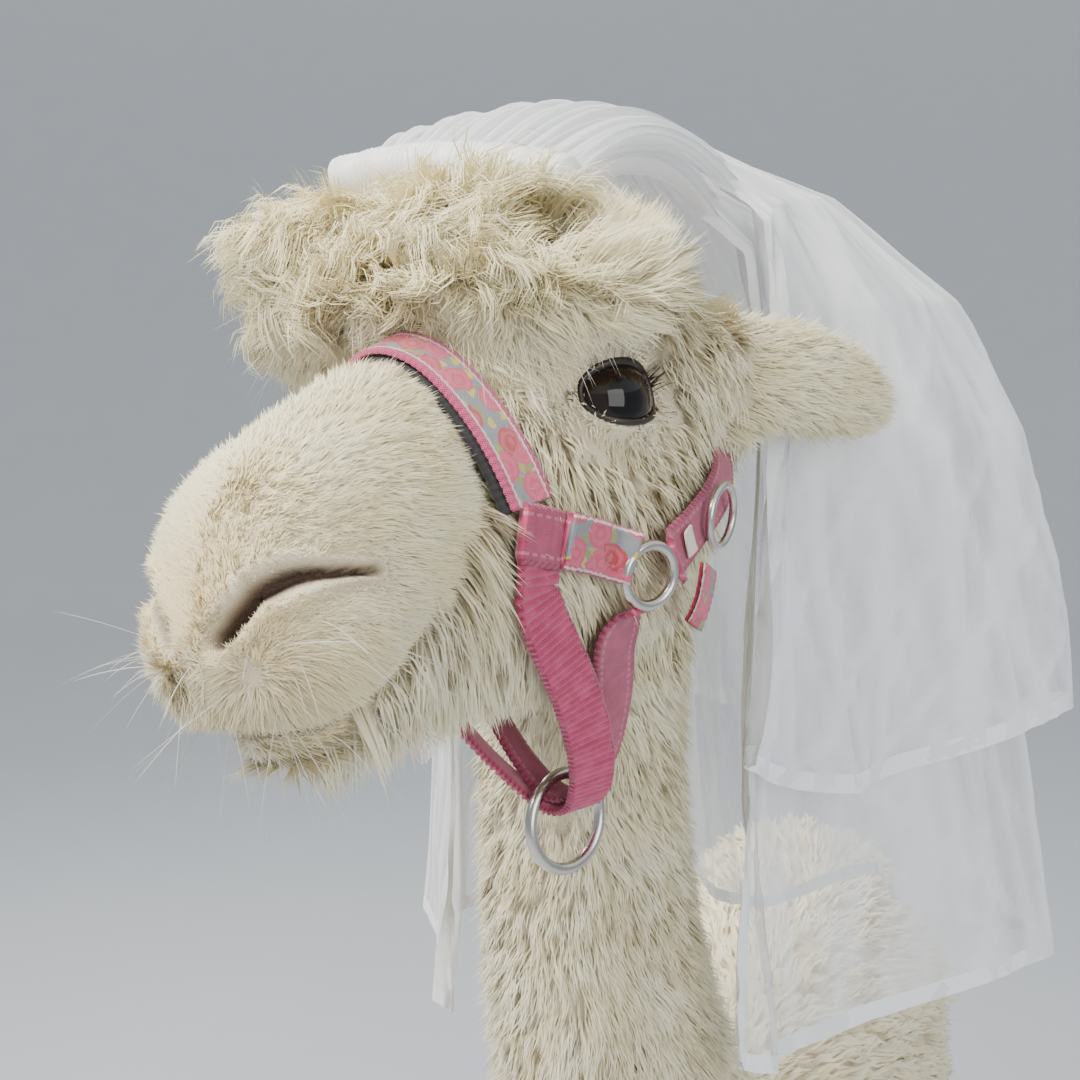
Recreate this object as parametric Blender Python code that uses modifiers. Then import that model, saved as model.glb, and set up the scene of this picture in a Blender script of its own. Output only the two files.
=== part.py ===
"""A standing alpaca, life-size and still, in a halter and a two-tier bridal veil.

Metres, +Z up. The animal faces -Y and its left side is +X. Its feet stand on z = 0.
The flesh is lofted limb by limb, fused into one body and then parted by thin plane cuts.
Outlines take in the coat, so the skin itself lies deeper by the coat's depth.
"""

import math

import bmesh
import bpy
import numpy as np
from mathutils import Matrix, Vector
from mathutils.bvhtree import BVHTree

GAP = 0.0003  # clear space between neighbouring pieces
CLEAR = 0.0013  # and round those that press into the coat
VOXEL = 0.0045  # grid in which the lofted limbs fuse into one body
HEAD_TRIANGLES = 2220  # the share of each part once its cuts are made
NECK_TRIANGLES = 420
TRUNK_TRIANGLES = 660
TAIL_TRIANGLES = 110
LEG_TRIANGLES = 200
VEIL_COLUMNS = 25
MELT = 6  # smoothing steps that soften the joins after fusing

# The head has its own frame: x to the animal's left, -y forward, z up, zero between the eyes.
HEAD_AT = Vector((-0.018, -0.530, 1.330))
HEAD_TURN = math.radians(-12.5)  # the nose turns this far towards the animal's right,
HEAD_NOD = math.radians(-2.0)  # rises this far above level,
HEAD_TILT = math.radians(-6.7)  # and the left side of the face is this far the higher
HEAD = (
    Matrix.Translation(HEAD_AT)
    @ Matrix.Rotation(HEAD_TURN, 4, "Z")
    @ Matrix.Rotation(HEAD_NOD, 4, "X")
    @ Matrix.Rotation(HEAD_TILT, 4, "Y")
)

# Trunk, from the breast back: y, top line, belly line, half width.
TRUNK = (
    (-0.370, 0.700, 0.560, 0.060),
    (-0.335, 0.780, 0.500, 0.105),
    (-0.260, 0.865, 0.470, 0.138),
    (-0.150, 0.903, 0.465, 0.150),
    (-0.020, 0.898, 0.465, 0.158),
    (0.110, 0.895, 0.472, 0.160),
    (0.230, 0.898, 0.515, 0.155),
    (0.325, 0.880, 0.565, 0.142),
    (0.390, 0.838, 0.620, 0.112),
    (0.420, 0.780, 0.690, 0.060),
)
# Rounded masses on the body: left, y, z, then the three half sizes.
BODY_MASSES = (
    (0.000, -0.270, 0.660, 0.120, 0.150, 0.165),  # breast
    (0.000, -0.210, 0.800, 0.100, 0.150, 0.110),  # withers
    (0.095, -0.205, 0.690, 0.066, 0.115, 0.165),  # shoulder
    (0.000, 0.260, 0.745, 0.140, 0.150, 0.150),  # rump
    (0.095, 0.250, 0.660, 0.068, 0.130, 0.150),  # thigh
)

# Neck, from the withers up: x, y and z of the middle, half width, half depth.
NECK = (
    (0.000, -0.190, 0.700, 0.112, 0.160),
    (-0.004, -0.285, 0.800, 0.094, 0.134),
    (-0.012, -0.345, 0.920, 0.075, 0.103),
    (-0.020, -0.385, 1.030, 0.061, 0.082),
    (-0.024, -0.404, 1.140, 0.055, 0.072),
    (-0.018, -0.414, 1.230, 0.054, 0.070),
    (-0.006, -0.424, 1.300, 0.057, 0.074),
    (0.002, -0.430, 1.365, 0.055, 0.060),
)

# Legs, from the top down: z, y of the middle, half width, half length.
FORELEG = (
    (0.700, -0.260, 0.055, 0.100),
    (0.600, -0.235, 0.055, 0.085),
    (0.520, -0.215, 0.050, 0.068),
    (0.440, -0.215, 0.043, 0.052),
    (0.350, -0.215, 0.037, 0.042),
    (0.290, -0.220, 0.038, 0.043),
    (0.220, -0.217, 0.034, 0.038),
    (0.140, -0.215, 0.033, 0.037),
    (0.090, -0.222, 0.034, 0.040),
    (0.048, -0.235, 0.032, 0.042),
    (0.022, -0.238, 0.026, 0.034),
)
HINDLEG = (
    (0.760, 0.270, 0.075, 0.130),
    (0.660, 0.255, 0.066, 0.128),
    (0.560, 0.245, 0.058, 0.102),
    (0.470, 0.270, 0.048, 0.075),
    (0.380, 0.305, 0.040, 0.055),
    (0.320, 0.325, 0.037, 0.050),
    (0.250, 0.322, 0.035, 0.041),
    (0.160, 0.315, 0.034, 0.038),
    (0.090, 0.308, 0.035, 0.042),
    (0.048, 0.298, 0.032, 0.044),
    (0.022, 0.292, 0.026, 0.036),
)
# Each leg's distance from the middle plane, at its top and at its foot.
FORELEG_SPREAD = (0.098, 0.090)
HINDLEG_SPREAD = (0.085, 0.098)
TOE_APART = 0.0165  # from the foot's middle to each toe's middle
TOE_HALF = (0.0150, 0.0400, 0.0190)  # half width, half length, half height
TOE_LEAD = 0.022  # the toes reach this far ahead of the pastern
NAIL_HALF = (0.0095, 0.0150, 0.0105)

# Tail, from the croup down: y and z of the middle, radius.
TAIL = (
    (0.385, 0.800, 0.030),
    (0.425, 0.795, 0.033),
    (0.447, 0.762, 0.034),
    (0.452, 0.715, 0.032),
    (0.450, 0.665, 0.027),
    (0.444, 0.625, 0.016),
)

# Head, from the lips back: forward, top, bottom, half width, and how much narrower the top is.
SKULL = (
    (0.1440, -0.058, -0.080, 0.016, 0.05),
    (0.1390, -0.036, -0.092, 0.027, 0.05),
    (0.1290, -0.019, -0.101, 0.034, 0.06),
    (0.1130, -0.008, -0.109, 0.039, 0.10),
    (0.0930, 0.002, -0.112, 0.041, 0.16),
    (0.0700, 0.015, -0.112, 0.042, 0.24),
    (0.0480, 0.027, -0.112, 0.045, 0.30),
    (0.0200, 0.044, -0.114, 0.055, 0.22),
    (-0.0100, 0.056, -0.115, 0.065, 0.10),
    (-0.0450, 0.068, -0.111, 0.069, 0.05),
    (-0.0750, 0.073, -0.098, 0.068, 0.00),
    (-0.1050, 0.062, -0.076, 0.062, 0.00),
    (-0.1280, 0.034, -0.045, 0.042, 0.00),
)
JAW_TAPER = 0.22  # how much narrower the head is underneath

# Rounded masses on the head: left, forward, up, then the three half sizes. The ones off the
# middle are built on both sides.
MASSES = (
    (0.000, -0.050, 0.048, 0.060, 0.045, 0.034),  # crown
    (0.000, 0.024, 0.042, 0.050, 0.032, 0.024),  # forelock over the nose
    (0.050, 0.004, 0.026, 0.015, 0.024, 0.010),  # brow
    (0.050, -0.048, 0.012, 0.028, 0.034, 0.036),  # temple wool
    (0.042, -0.026, -0.058, 0.022, 0.032, 0.036),  # cheek wool
    (0.021, 0.108, -0.070, 0.021, 0.030, 0.026),  # upper lip
    (0.017, 0.113, -0.036, 0.018, 0.021, 0.019),  # nostril wing
    (0.000, 0.098, -0.101, 0.023, 0.028, 0.012),  # chin
)
# The topknot is swept to the animal's right, so its masses lie on one side only.
TOPKNOT = (
    (-0.008, -0.006, 0.050, 0.068, 0.053, 0.037),
    (0.046, -0.004, 0.036, 0.034, 0.038, 0.024),
    (-0.060, 0.020, 0.060, 0.036, 0.036, 0.032),
    (-0.060, 0.016, 0.038, 0.030, 0.029, 0.024),
)
# The mouth line and the nostril slits, as left, forward, up, pressed into the coat.
MOUTH = ((0.041, 0.088, -0.077), (0.030, 0.118, -0.096), (0.014, 0.137, -0.094), (0.000, 0.142, -0.091))
MOUTH_RADIUS = 0.0034
NOSTRIL = ((0.006, 0.140, -0.066), (0.017, 0.134, -0.059), (0.029, 0.124, -0.054), (0.039, 0.107, -0.051))
NOSTRIL_RADIUS = 0.0038

# Where the body is parted: a point on each plane, and the side that its part lies on.
HEAD_CUT = (HEAD @ Vector((0.0, 0.080, -0.062)), HEAD.to_3x3() @ Vector((0, -0.793, 0.609)))
NECK_CUT = (Vector((0.0, -0.3000, 0.8150)), Vector((0.0, -0.55, 0.835)).normalized())
TAIL_CUT = (Vector((0.0, 0.4240, 0.7500)), Vector((0.0, 1.0, 0.0)))
FORELEG_CUT = (Vector((0.0, 0.0, 0.4500)), Vector((0.0, 0.0, -1.0)))
HINDLEG_CUT = (Vector((0.0, 0.120, 0.442)), Vector((0.0, 0.25, -0.97)).normalized())
GROUND = (Vector((0.0, 0.0, 0.0)), Vector((0.0, 0.0, 1.0)))

EYE_RADIUS = 0.0172
EYE_AT = (0.0425, -0.0090, -0.0020)  # left, forward, up of the left eye's middle
EYE_LOOK = math.radians(31)  # the eyes look this far ahead of straight sideways
EYE_OPENING = (0.0200, 0.0215, 0.0102)  # half sizes: out of the head, along the lids, across
EAR = (  # from the root to the tip: left, forward, up, half width, half height
    (0.054, -0.062, 0.014, 0.011, 0.018),
    (0.069, -0.086, 0.012, 0.013, 0.024),
    (0.079, -0.115, 0.009, 0.014, 0.025),
    (0.085, -0.145, 0.006, 0.013, 0.022),
    (0.089, -0.170, 0.002, 0.010, 0.015),
    (0.090, -0.188, 0.000, 0.004, 0.006),
)

WEB = 0.019  # width of the halter's webbing
WEB_THICK = 0.0026
PAD_THICK = 0.0028
SINK = 0.0030  # webbing presses this far into the coat
REACH = 0.018  # a hugging route is laid within this of the coat
# Routes of the halter's left side, as left, forward, up. Hugging routes lie on the coat.
SQUARE = ((0.044, 0.0500, -0.0450), (0.044, 0.0320, -0.0485))
NOSEBAND = (
    (0.043, 0.0435, -0.0330),
    (0.040, 0.0455, -0.0220),
    (0.034, 0.0480, -0.0090),
    (0.020, 0.0530, 0.0150),
    (0.000, 0.0560, 0.0270),
)
CHEEK_STRAP = ((0.0455, 0.0310, -0.0487), (0.0480, 0.0205, -0.0507), (0.0490, 0.0115, -0.0532))
CROWN_STRAP = (
    (0.0615, -0.0185, -0.0550),
    (0.0610, -0.0350, -0.0480),
    (0.0580, -0.0660, -0.0310),
    (0.046, -0.0900, -0.0060),
    (0.042, -0.1120, 0.0300),
    (0.026, -0.1200, 0.0580),
    (0.000, -0.1200, 0.0700),
)
CROWN_HUG = (1.0, 1.0, 0.7, 0.0, 0.0, 0.0, 0.0)
STRAP_END = ((0.0650, -0.0360, -0.0625), (0.0655, -0.0330, -0.0730), (0.0650, -0.0300, -0.0860))
LABEL_ROUTE = ((0.0615, -0.0215, -0.0537), (0.0615, -0.0275, -0.0512))
CHIN_STRAP = (
    (0.0445, 0.0415, -0.0612),
    (0.0440, 0.0380, -0.0710),
    (0.0410, 0.0265, -0.0860),
    (0.0350, 0.0080, -0.1060),
    (0.0260, -0.0110, -0.1290),
    (0.0130, -0.0260, -0.1505),
    (0.0000, -0.0290, -0.1552),
)
THROAT_STRAP = (
    (0.0490, -0.0010, -0.0775),
    (0.0430, -0.0060, -0.0910),
    (0.0330, -0.0215, -0.1130),
    (0.0220, -0.0275, -0.1310),
    (0.0110, -0.0300, -0.1462),
    (0.0000, -0.0300, -0.1510),
)
CHIN_HUG = (1.0, 1.0, 0.8, 0.4, 0.0, 0.0, 0.0)
THROAT_HUG = (1.0, 0.8, 0.4, 0.0, 0.0, 0.0)
CHEEK_RING_AT = (0.0520, -0.0030, -0.0610)
CHEEK_RING = (0.0105, 0.0019)  # ring radius, wire radius
RING_LIFT = 0.0036  # flat rings lie this far out on the coat
BUCKLE_AT = (0.0600, -0.0480, -0.0440)
BUCKLE = (0.0115, 0.0016)
LEAD_RING_AT = (0.0, -0.0290, -0.1592)
LEAD_RING = (0.0186, 0.0024)
LEAD_RING_TURN = math.radians(-14)

# The veil hangs from a gathered band, over the poll and down behind the neck. Rows run down the
# veil: distance from the neck's line at the back, at the widest side and at the front edges, and
# height there.
BAND_HALF = 0.056
BAND_AT = (-0.018, -0.008, 0.098)
BAND_SLOPE = -0.24  # it lies this much lower towards the animal's left
BAND_BOW = 0.006  # and its ends hang this far below its middle
BAND_RADIUS = 0.0080
VEIL_LINE = Vector((-0.020, -0.420, 0.0))  # a plumb line in the neck
UPPER_SWEEP = math.radians(84)  # how far round each tier's front edges lie from the back
LOWER_SWEEP = math.radians(80)
WIDEST = 0.60  # the share of the sweep at which a tier stands widest
HUGGING = 0.90  # and from where it hugs the neck
PUFF = 0.014  # the tulle rises this far between the band and the poll
PUFF_SHIFT = -0.026  # and lies this far over on the animal's right there
RIGHT_SHARE = 0.61  # on the animal's right the veil stands out only this share as far
UPPER_TIER = (
    (0.058, 0.066, 0.064, 1.472),
    (0.100, 0.130, 0.080, 1.450),
    (0.135, 0.198, 0.086, 1.398),
    (0.156, 0.242, 0.088, 1.328),
    (0.172, 0.266, 0.089, 1.250),
    (0.186, 0.284, 0.090, 1.160),
)
LOWER_TIER = (
    (0.049, 0.056, 0.056, 1.462),
    (0.089, 0.118, 0.072, 1.440),
    (0.123, 0.170, 0.078, 1.390),
    (0.143, 0.212, 0.079, 1.322),
    (0.158, 0.240, 0.078, 1.245),
    (0.170, 0.262, 0.077, 1.165),
    (0.184, 0.284, 0.078, 1.090),
    (0.200, 0.300, 0.084, 1.020),
)
VEIL_THICK = 0.0026
FOLDS = 7

WOOL = (0.86, 0.80, 0.68)
FACE_WOOL = (0.88, 0.82, 0.70)
NAIL_HORN = (0.30, 0.24, 0.18)
EYE_BLACK = (0.012, 0.010, 0.010)
PINK = (0.62, 0.11, 0.24)
FLORAL = (0.72, 0.16, 0.26)
BLACK = (0.02, 0.02, 0.02)
NICKEL = (0.66, 0.64, 0.61)
TULLE = (0.90, 0.91, 0.95)
LABEL = (0.86, 0.84, 0.80)


def clear_scene():
    for obj in list(bpy.data.objects):
        bpy.data.objects.remove(obj, do_unlink=True)
    for name in ("alpaca", "cutters"):
        bpy.context.scene.collection.children.link(bpy.data.collections.new(name))


def finish(name, colour, roughness, metallic=0.0):
    """A plain Principled material for one object."""
    made = bpy.data.materials.new(name)
    made.use_nodes = True
    shader = made.node_tree.nodes["Principled BSDF"]
    shader.inputs["Base Color"].default_value = (*colour, 1.0)
    shader.inputs["Roughness"].default_value = roughness
    shader.inputs["Metallic"].default_value = metallic
    return made


def object_of(name, mesh, collection="alpaca"):
    obj = bpy.data.objects.new(name, mesh)
    bpy.data.collections[collection].objects.link(obj)
    if collection == "cutters":
        obj.hide_render = True
        obj.display_type = "WIRE"
    return obj


def mesh_of(name, bm):
    """Turns a bmesh into a mesh whose faces point out."""
    bmesh.ops.recalc_face_normals(bm, faces=bm.faces)
    mesh = bpy.data.meshes.new(name)
    bm.to_mesh(mesh)
    bm.free()
    return mesh


def baked(obj):
    """The object's mesh with its modifiers applied."""
    graph = bpy.context.evaluated_depsgraph_get()
    mesh = bpy.data.meshes.new_from_object(obj.evaluated_get(graph))
    obj.modifiers.clear()
    obj.data = mesh
    return obj


def eased(stations, per_span=3):
    """Rows between the stations, on a Catmull-Rom curve through them."""
    rows = np.array(stations, float)
    ends = np.vstack([2 * rows[0] - rows[1], rows, 2 * rows[-1] - rows[-2]])
    made = []
    for i in range(1, len(ends) - 2):
        a, b, c, d = ends[i - 1 : i + 3]
        for k in range(per_span):
            t = k / per_span
            made.append(
                0.5 * (2 * b + (c - a) * t + (2 * a - 5 * b + 4 * c - d) * t**2
                       + (3 * b - a - 3 * c + d) * t**3)
            )
    made.append(rows[-1])
    return made


def loft(bm, rings, closed_loop=False):
    """Skins the rings of points, each to the next, and caps both ends."""
    rows = [[bm.verts.new(p) for p in ring] for ring in rings]
    pairs = list(zip(rows, rows[1:]))
    if closed_loop:
        pairs.append((rows[-1], rows[0]))
    for a, b in pairs:
        for i in range(len(a)):
            j = (i + 1) % len(a)
            bm.faces.new((a[i], a[j], b[j], b[i]))
    if not closed_loop:
        bm.faces.new(rows[0][::-1])
        bm.faces.new(rows[-1])


def oval(middle, across, upward, half_across, half_up, taper=0.0, power=2.0, steps=24, under=0.0):
    """A ring of points: a superellipse, narrower at its top by the taper and below by under."""
    ring = []
    for k in range(steps):
        angle = 2 * math.pi * k / steps
        c, s = math.cos(angle), math.sin(angle)
        narrow = 1 - taper * max(s, 0) + under * min(s, 0)
        x = math.copysign(abs(c) ** (2 / power), c) * half_across * narrow
        z = math.copysign(abs(s) ** (2 / power), s) * half_up
        ring.append(middle + across * x + upward * z)
    return ring


def ellipsoid(bm, middle, halves, frame=None, segments=20, rings=12):
    place = (frame or Matrix()) @ Matrix.Translation(middle) @ Matrix.Diagonal((*halves, 1.0))
    bmesh.ops.create_uvsphere(bm, u_segments=segments, v_segments=rings, radius=1.0, matrix=place)


def head_place(left, forward, up):
    return HEAD @ Vector((left, -forward, up))


def both_sides(point):
    """A point and its mirror image, or the point alone where it lies in the middle."""
    left, *rest = point
    return [(left, *rest)] if left == 0 else [(left, *rest), (-left, *rest)]


X, Y, Z = Vector((1, 0, 0)), Vector((0, 1, 0)), Vector((0, 0, 1))


def add_trunk(bm):
    rings = []
    for y, top, bottom, half in eased(TRUNK):
        middle = Vector((0, y, (top + bottom) / 2))
        rings.append(oval(middle, X, Z, half, (top - bottom) / 2, taper=0.06, power=2.25))
    loft(bm, rings)
    for mass in BODY_MASSES:
        for *middle, half_width, half_length, half_height in both_sides(mass):
            ellipsoid(bm, Vector(middle), (half_width, half_length, half_height))


def add_neck(bm):
    rows = eased(NECK)
    rings = []
    for i, (*middle, half_width, half_depth) in enumerate(rows):
        low, high = rows[max(i - 1, 0)], rows[min(i + 1, len(rows) - 1)]
        along = Vector((0, high[1] - low[1], high[2] - low[2])).normalized()
        rings.append(oval(Vector(middle), X, X.cross(along), half_width, half_depth))
    loft(bm, rings)


def add_leg(bm, stations, spread, side):
    rows = eased(stations)
    top, foot = rows[0][0], rows[-1][0]
    rings = []
    for z, y, half_width, half_length in rows:
        x = np.interp(z, (foot, top), (spread[1], spread[0]))
        rings.append(oval(Vector((side * x, y, z)), X, Y, half_width, half_length))
    loft(bm, rings)
    y = stations[-1][1]
    for toe in (-1, 1):
        middle = Vector((side * spread[1] + toe * TOE_APART, y - TOE_LEAD, 0.014))
        ellipsoid(bm, middle, TOE_HALF)


def toe_tips(stations, spread, side):
    """Where each toe's nail sits, by its place on the foot."""
    y = stations[-1][1] - TOE_LEAD - TOE_HALF[1] + 0.006
    return {
        "inner": Vector((side * (spread[1] - TOE_APART), y, 0.0085)),
        "outer": Vector((side * (spread[1] + TOE_APART), y, 0.0085)),
    }


def add_tail(bm):
    rows = eased(TAIL)
    rings = []
    for i, (y, z, radius) in enumerate(rows):
        low, high = rows[max(i - 1, 0)], rows[min(i + 1, len(rows) - 1)]
        along = Vector((0, high[0] - low[0], high[1] - low[1])).normalized()
        rings.append(oval(Vector((0, y, z)), X, X.cross(along), radius * 1.15, radius))
    loft(bm, rings)


def add_head(bm):
    across = HEAD.to_3x3() @ X
    upward = HEAD.to_3x3() @ Z
    rings = []
    for forward, top, bottom, half, taper in eased(SKULL):
        middle = head_place(0, forward, (top + bottom) / 2)
        rings.append(oval(middle, across, upward, half, (top - bottom) / 2, taper, 2.2,
                          under=JAW_TAPER))
    loft(bm, rings)
    masses = [side for mass in MASSES for side in both_sides(mass)]
    for left, forward, up, *halves in [*masses, *TOPKNOT]:
        ellipsoid(bm, Vector((left, -forward, up)), halves, HEAD)


def tube_of(name, points, radius, collection):
    """A round tube along the points, as a mesh with capped ends."""
    rings = []
    for i, point in enumerate(points):
        low, high = points[max(i - 1, 0)], points[min(i + 1, len(points) - 1)]
        along = (high - low).normalized()
        across = along.orthogonal().normalized()
        rings.append(oval(point, across, along.cross(across), radius, radius, steps=6))
    bm = bmesh.new()
    loft(bm, rings)
    return object_of(name, mesh_of(name, bm), collection)


def fused_body():
    """The whole animal as one closed surface, with its mouth and nostrils pressed in."""
    bm = bmesh.new()
    add_trunk(bm)
    add_neck(bm)
    add_tail(bm)
    add_head(bm)
    for side in (-1, 1):
        add_leg(bm, FORELEG, FORELEG_SPREAD, side)
        add_leg(bm, HINDLEG, HINDLEG_SPREAD, side)
    body = object_of("body", mesh_of("body", bm), "cutters")
    grid = body.modifiers.new("fuse", "REMESH")
    grid.mode = "VOXEL"
    grid.voxel_size = VOXEL
    melt = body.modifiers.new("melt", "SMOOTH")
    melt.iterations = MELT
    melt.factor = 0.6
    return baked(body)


def bisected(bm, plane, side):
    """Keeps what lies on one side of the plane, clear of it by half a gap, and closes the cut."""
    point, normal = plane
    point = point + normal * side * GAP / 2
    geometry = bm.verts[:] + bm.edges[:] + bm.faces[:]
    cut = bmesh.ops.bisect_plane(
        bm, geom=geometry, dist=1e-7, plane_co=point, plane_no=normal * side, clear_inner=True
    )
    rim = [e for e in cut["geom_cut"] if isinstance(e, bmesh.types.BMEdge)]
    bmesh.ops.holes_fill(bm, edges=rim)
    bmesh.ops.triangulate(bm, faces=[f for f in bm.faces if len(f.verts) > 4])


def keep_side(bm, x_side):
    """Drops the islands of mesh that lie on the other side of the middle plane."""
    unseen = set(bm.verts)
    while unseen:
        island = {unseen.pop()}
        edge_of_island = list(island)
        while edge_of_island:
            vert = edge_of_island.pop()
            for edge in vert.link_edges:
                other = edge.other_vert(vert)
                if other in unseen:
                    unseen.remove(other)
                    island.add(other)
                    edge_of_island.append(other)
        middle = sum((v.co.x for v in island)) / len(island)
        if middle * x_side < 0:
            bmesh.ops.delete(bm, geom=list(island), context="VERTS")


def part_of(body, name, planes, triangles, x_side=0):
    """One named part of the body: cut loose, thinned to its share of triangles, cut clean."""
    bm = bmesh.new()
    bm.from_mesh(body.data)
    for plane, side in planes:
        slack = plane[0] - plane[1] * side * 1.2 * VOXEL
        bisected(bm, (slack, plane[1]), side)
    if x_side:
        keep_side(bm, x_side)
    bmesh.ops.triangulate(bm, faces=bm.faces)
    count = len(bm.faces)
    obj = object_of(name, mesh_of(name, bm))
    thin = obj.modifiers.new("thin", "DECIMATE")
    thin.ratio = triangles / count
    baked(obj)
    bm = bmesh.new()
    bm.from_mesh(obj.data)
    for plane, side in planes:
        bisected(bm, plane, side)
    old = obj.data
    obj.data = mesh_of(name, bm)
    bpy.data.meshes.remove(old)
    obj.data.materials.append(finish(name, WOOL, 0.95))
    return obj


def grown_copy(obj, by, name):
    """The same shape, larger by a gap all round, as a cutter."""
    bm = bmesh.new()
    bm.from_mesh(obj.data)
    bm.normal_update()
    moved = [v.co + v.normal * by for v in bm.verts]
    for vert, place in zip(bm.verts, moved):
        vert.co = place
    return object_of(name, mesh_of(name, bm), "cutters")


def thinned(obj, triangles):
    """Applies the object's cuts, then lets it keep about this many triangles."""
    baked(obj)
    bm = bmesh.new()
    bm.from_mesh(obj.data)
    bmesh.ops.remove_doubles(bm, verts=bm.verts, dist=2e-5)
    bmesh.ops.triangulate(bm, faces=bm.faces)
    count = len(bm.faces)
    bm.to_mesh(obj.data)
    bm.free()
    thin = obj.modifiers.new("thin", "DECIMATE")
    thin.ratio = min(1.0, triangles / count)
    return baked(obj)


def cut(target, cutter):
    change = target.modifiers.new(cutter.name, "BOOLEAN")
    change.operation = "DIFFERENCE"
    change.solver = "MANIFOLD"
    change.object = cutter


def snug(surface, left, forward, up, weight=1.0):
    """A point drawn onto the coat by its weight, and the way out from the head there."""
    free = head_place(left, forward, up)
    core = head_place(left * 0.25, min(forward, 0.11), -0.045 + 0.35 * (up + 0.045))
    out = (free - core).normalized()
    if weight > 0:
        spot, normal, _, _ = surface.ray_cast(free + out * REACH, -out)
        free = free.lerp(spot, weight)
        out = out.lerp(normal, 0.8 * weight).normalized()
    return free, out


def ribbon(route, surface, width, low, high, hug=None, spare=0.0):
    """A flat band along a route given in the head's frame.

    Where it hugs, the route is drawn onto the coat. The band then fills the depth between low
    and high, measured out from the coat, and runs on past both ends by the spare length.
    """
    weights = hug or [1.0] * len(route)
    rows = eased([(*point, weight) for point, weight in zip(route, weights)], 2)
    spine, outs = zip(*(snug(surface, *row) for row in rows))
    for _ in range(2):
        outs = [
            (outs[max(i - 1, 0)] + 2 * outs[i] + outs[min(i + 1, len(outs) - 1)]).normalized()
            for i in range(len(outs))
        ]
    spine = list(spine)
    spine[0] -= (spine[1] - spine[0]).normalized() * spare
    spine[-1] += (spine[-1] - spine[-2]).normalized() * spare
    rings = []
    for i, (point, out) in enumerate(zip(spine, outs)):
        along = spine[min(i + 1, len(spine) - 1)] - spine[max(i - 1, 0)]
        across = along.cross(out).normalized() * width / 2
        rings.append([
            point - across + out * low,
            point + across + out * low,
            point + across + out * high,
            point - across + out * high,
        ])
    return rings


def mirrored_route(route):
    """The whole route from the left side, over the middle, to the right side."""
    return [*route, *[(-left, *rest) for left, *rest in route[-2::-1]]]


def strap(head, surface, name, route, colour, low=-SINK, thick=WEB_THICK, width=WEB, hug=None,
          groove=True):
    """A length of webbing, and the groove that it presses into the coat."""
    bm = bmesh.new()
    loft(bm, ribbon(route, surface, width, low, low + thick, hug))
    obj = object_of(name, mesh_of(name, bm))
    obj.data.materials.append(finish(name, colour, 0.8))
    if groove:
        bm = bmesh.new()
        high = low + thick + 0.012
        loft(bm, ribbon(route, surface, width + 2 * CLEAR, low - CLEAR, high, hug, CLEAR))
        cut(head, object_of(name + "_groove", mesh_of(name + "_groove", bm), "cutters"))


def ring(name, middle, normal, ring_radius, wire_radius, steps=16, sides=6):
    """A metal ring, square to its normal."""
    side = normal.orthogonal().normalized()
    other = normal.cross(side)
    rings = []
    for k in range(steps):
        angle = 2 * math.pi * k / steps
        out = side * math.cos(angle) + other * math.sin(angle)
        rings.append(oval(middle + out * ring_radius, out, normal, wire_radius, wire_radius,
                          steps=sides))
    bm = bmesh.new()
    loft(bm, rings, closed_loop=True)
    obj = object_of(name, mesh_of(name, bm))
    obj.data.materials.append(finish(name, NICKEL, 0.25, 1.0))
    return obj


def build_eye(head, side, name):
    left, forward, up = EYE_AT
    bm = bmesh.new()
    ellipsoid(bm, Vector((side * left, -forward, up)), [EYE_RADIUS] * 3, HEAD, 12, 8)
    eye = object_of(name, mesh_of(name, bm))
    eye.data.materials.append(finish(name, EYE_BLACK, 0.08))
    cut(head, grown_copy(eye, CLEAR, name + "_socket"))
    bm = bmesh.new()
    outward = Matrix.Rotation(-side * EYE_LOOK, 4, "Z")
    place = HEAD @ Matrix.Translation((side * left, -forward, up)) @ outward
    ellipsoid(bm, X * side * EYE_RADIUS * 1.5, EYE_OPENING, place, 14, 8)
    cut(head, object_of(name + "_opening", mesh_of(name + "_opening", bm), "cutters"))


def build_ear(head, neck, side, name):
    rings = []
    rows = eased(EAR, 2)
    for i, (left, forward, up, half_width, half_height) in enumerate(rows):
        low, high = rows[max(i - 1, 0)], rows[min(i + 1, len(rows) - 1)]
        along = Vector((high[0] - low[0], low[1] - high[1], high[2] - low[2])).normalized()
        across = along.cross(Z).normalized()
        points = oval(Vector((left, -forward, up)), across, across.cross(along), half_width,
                      half_height, steps=10)
        rings.append([HEAD @ Vector((side * p.x, p.y, p.z)) for p in points])
    bm = bmesh.new()
    loft(bm, rings)
    ear = object_of(name, mesh_of(name, bm))
    ear.data.materials.append(finish(name, WOOL, 0.95))
    seat = grown_copy(ear, CLEAR, name + "_seat")
    cut(head, seat)
    cut(neck, seat)


def build_nails(leg, stations, spread, side, name):
    for place, middle in toe_tips(stations, spread, side).items():
        bm = bmesh.new()
        ellipsoid(bm, middle, NAIL_HALF, None, 8, 5)
        bisected(bm, GROUND, 1)
        nail = object_of(f"nail_{name}_{place}", mesh_of("nail", bm))
        nail.data.materials.append(finish("nail", NAIL_HORN, 0.5))
        cut(leg, grown_copy(nail, GAP, nail.name + "_bed"))


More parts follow.
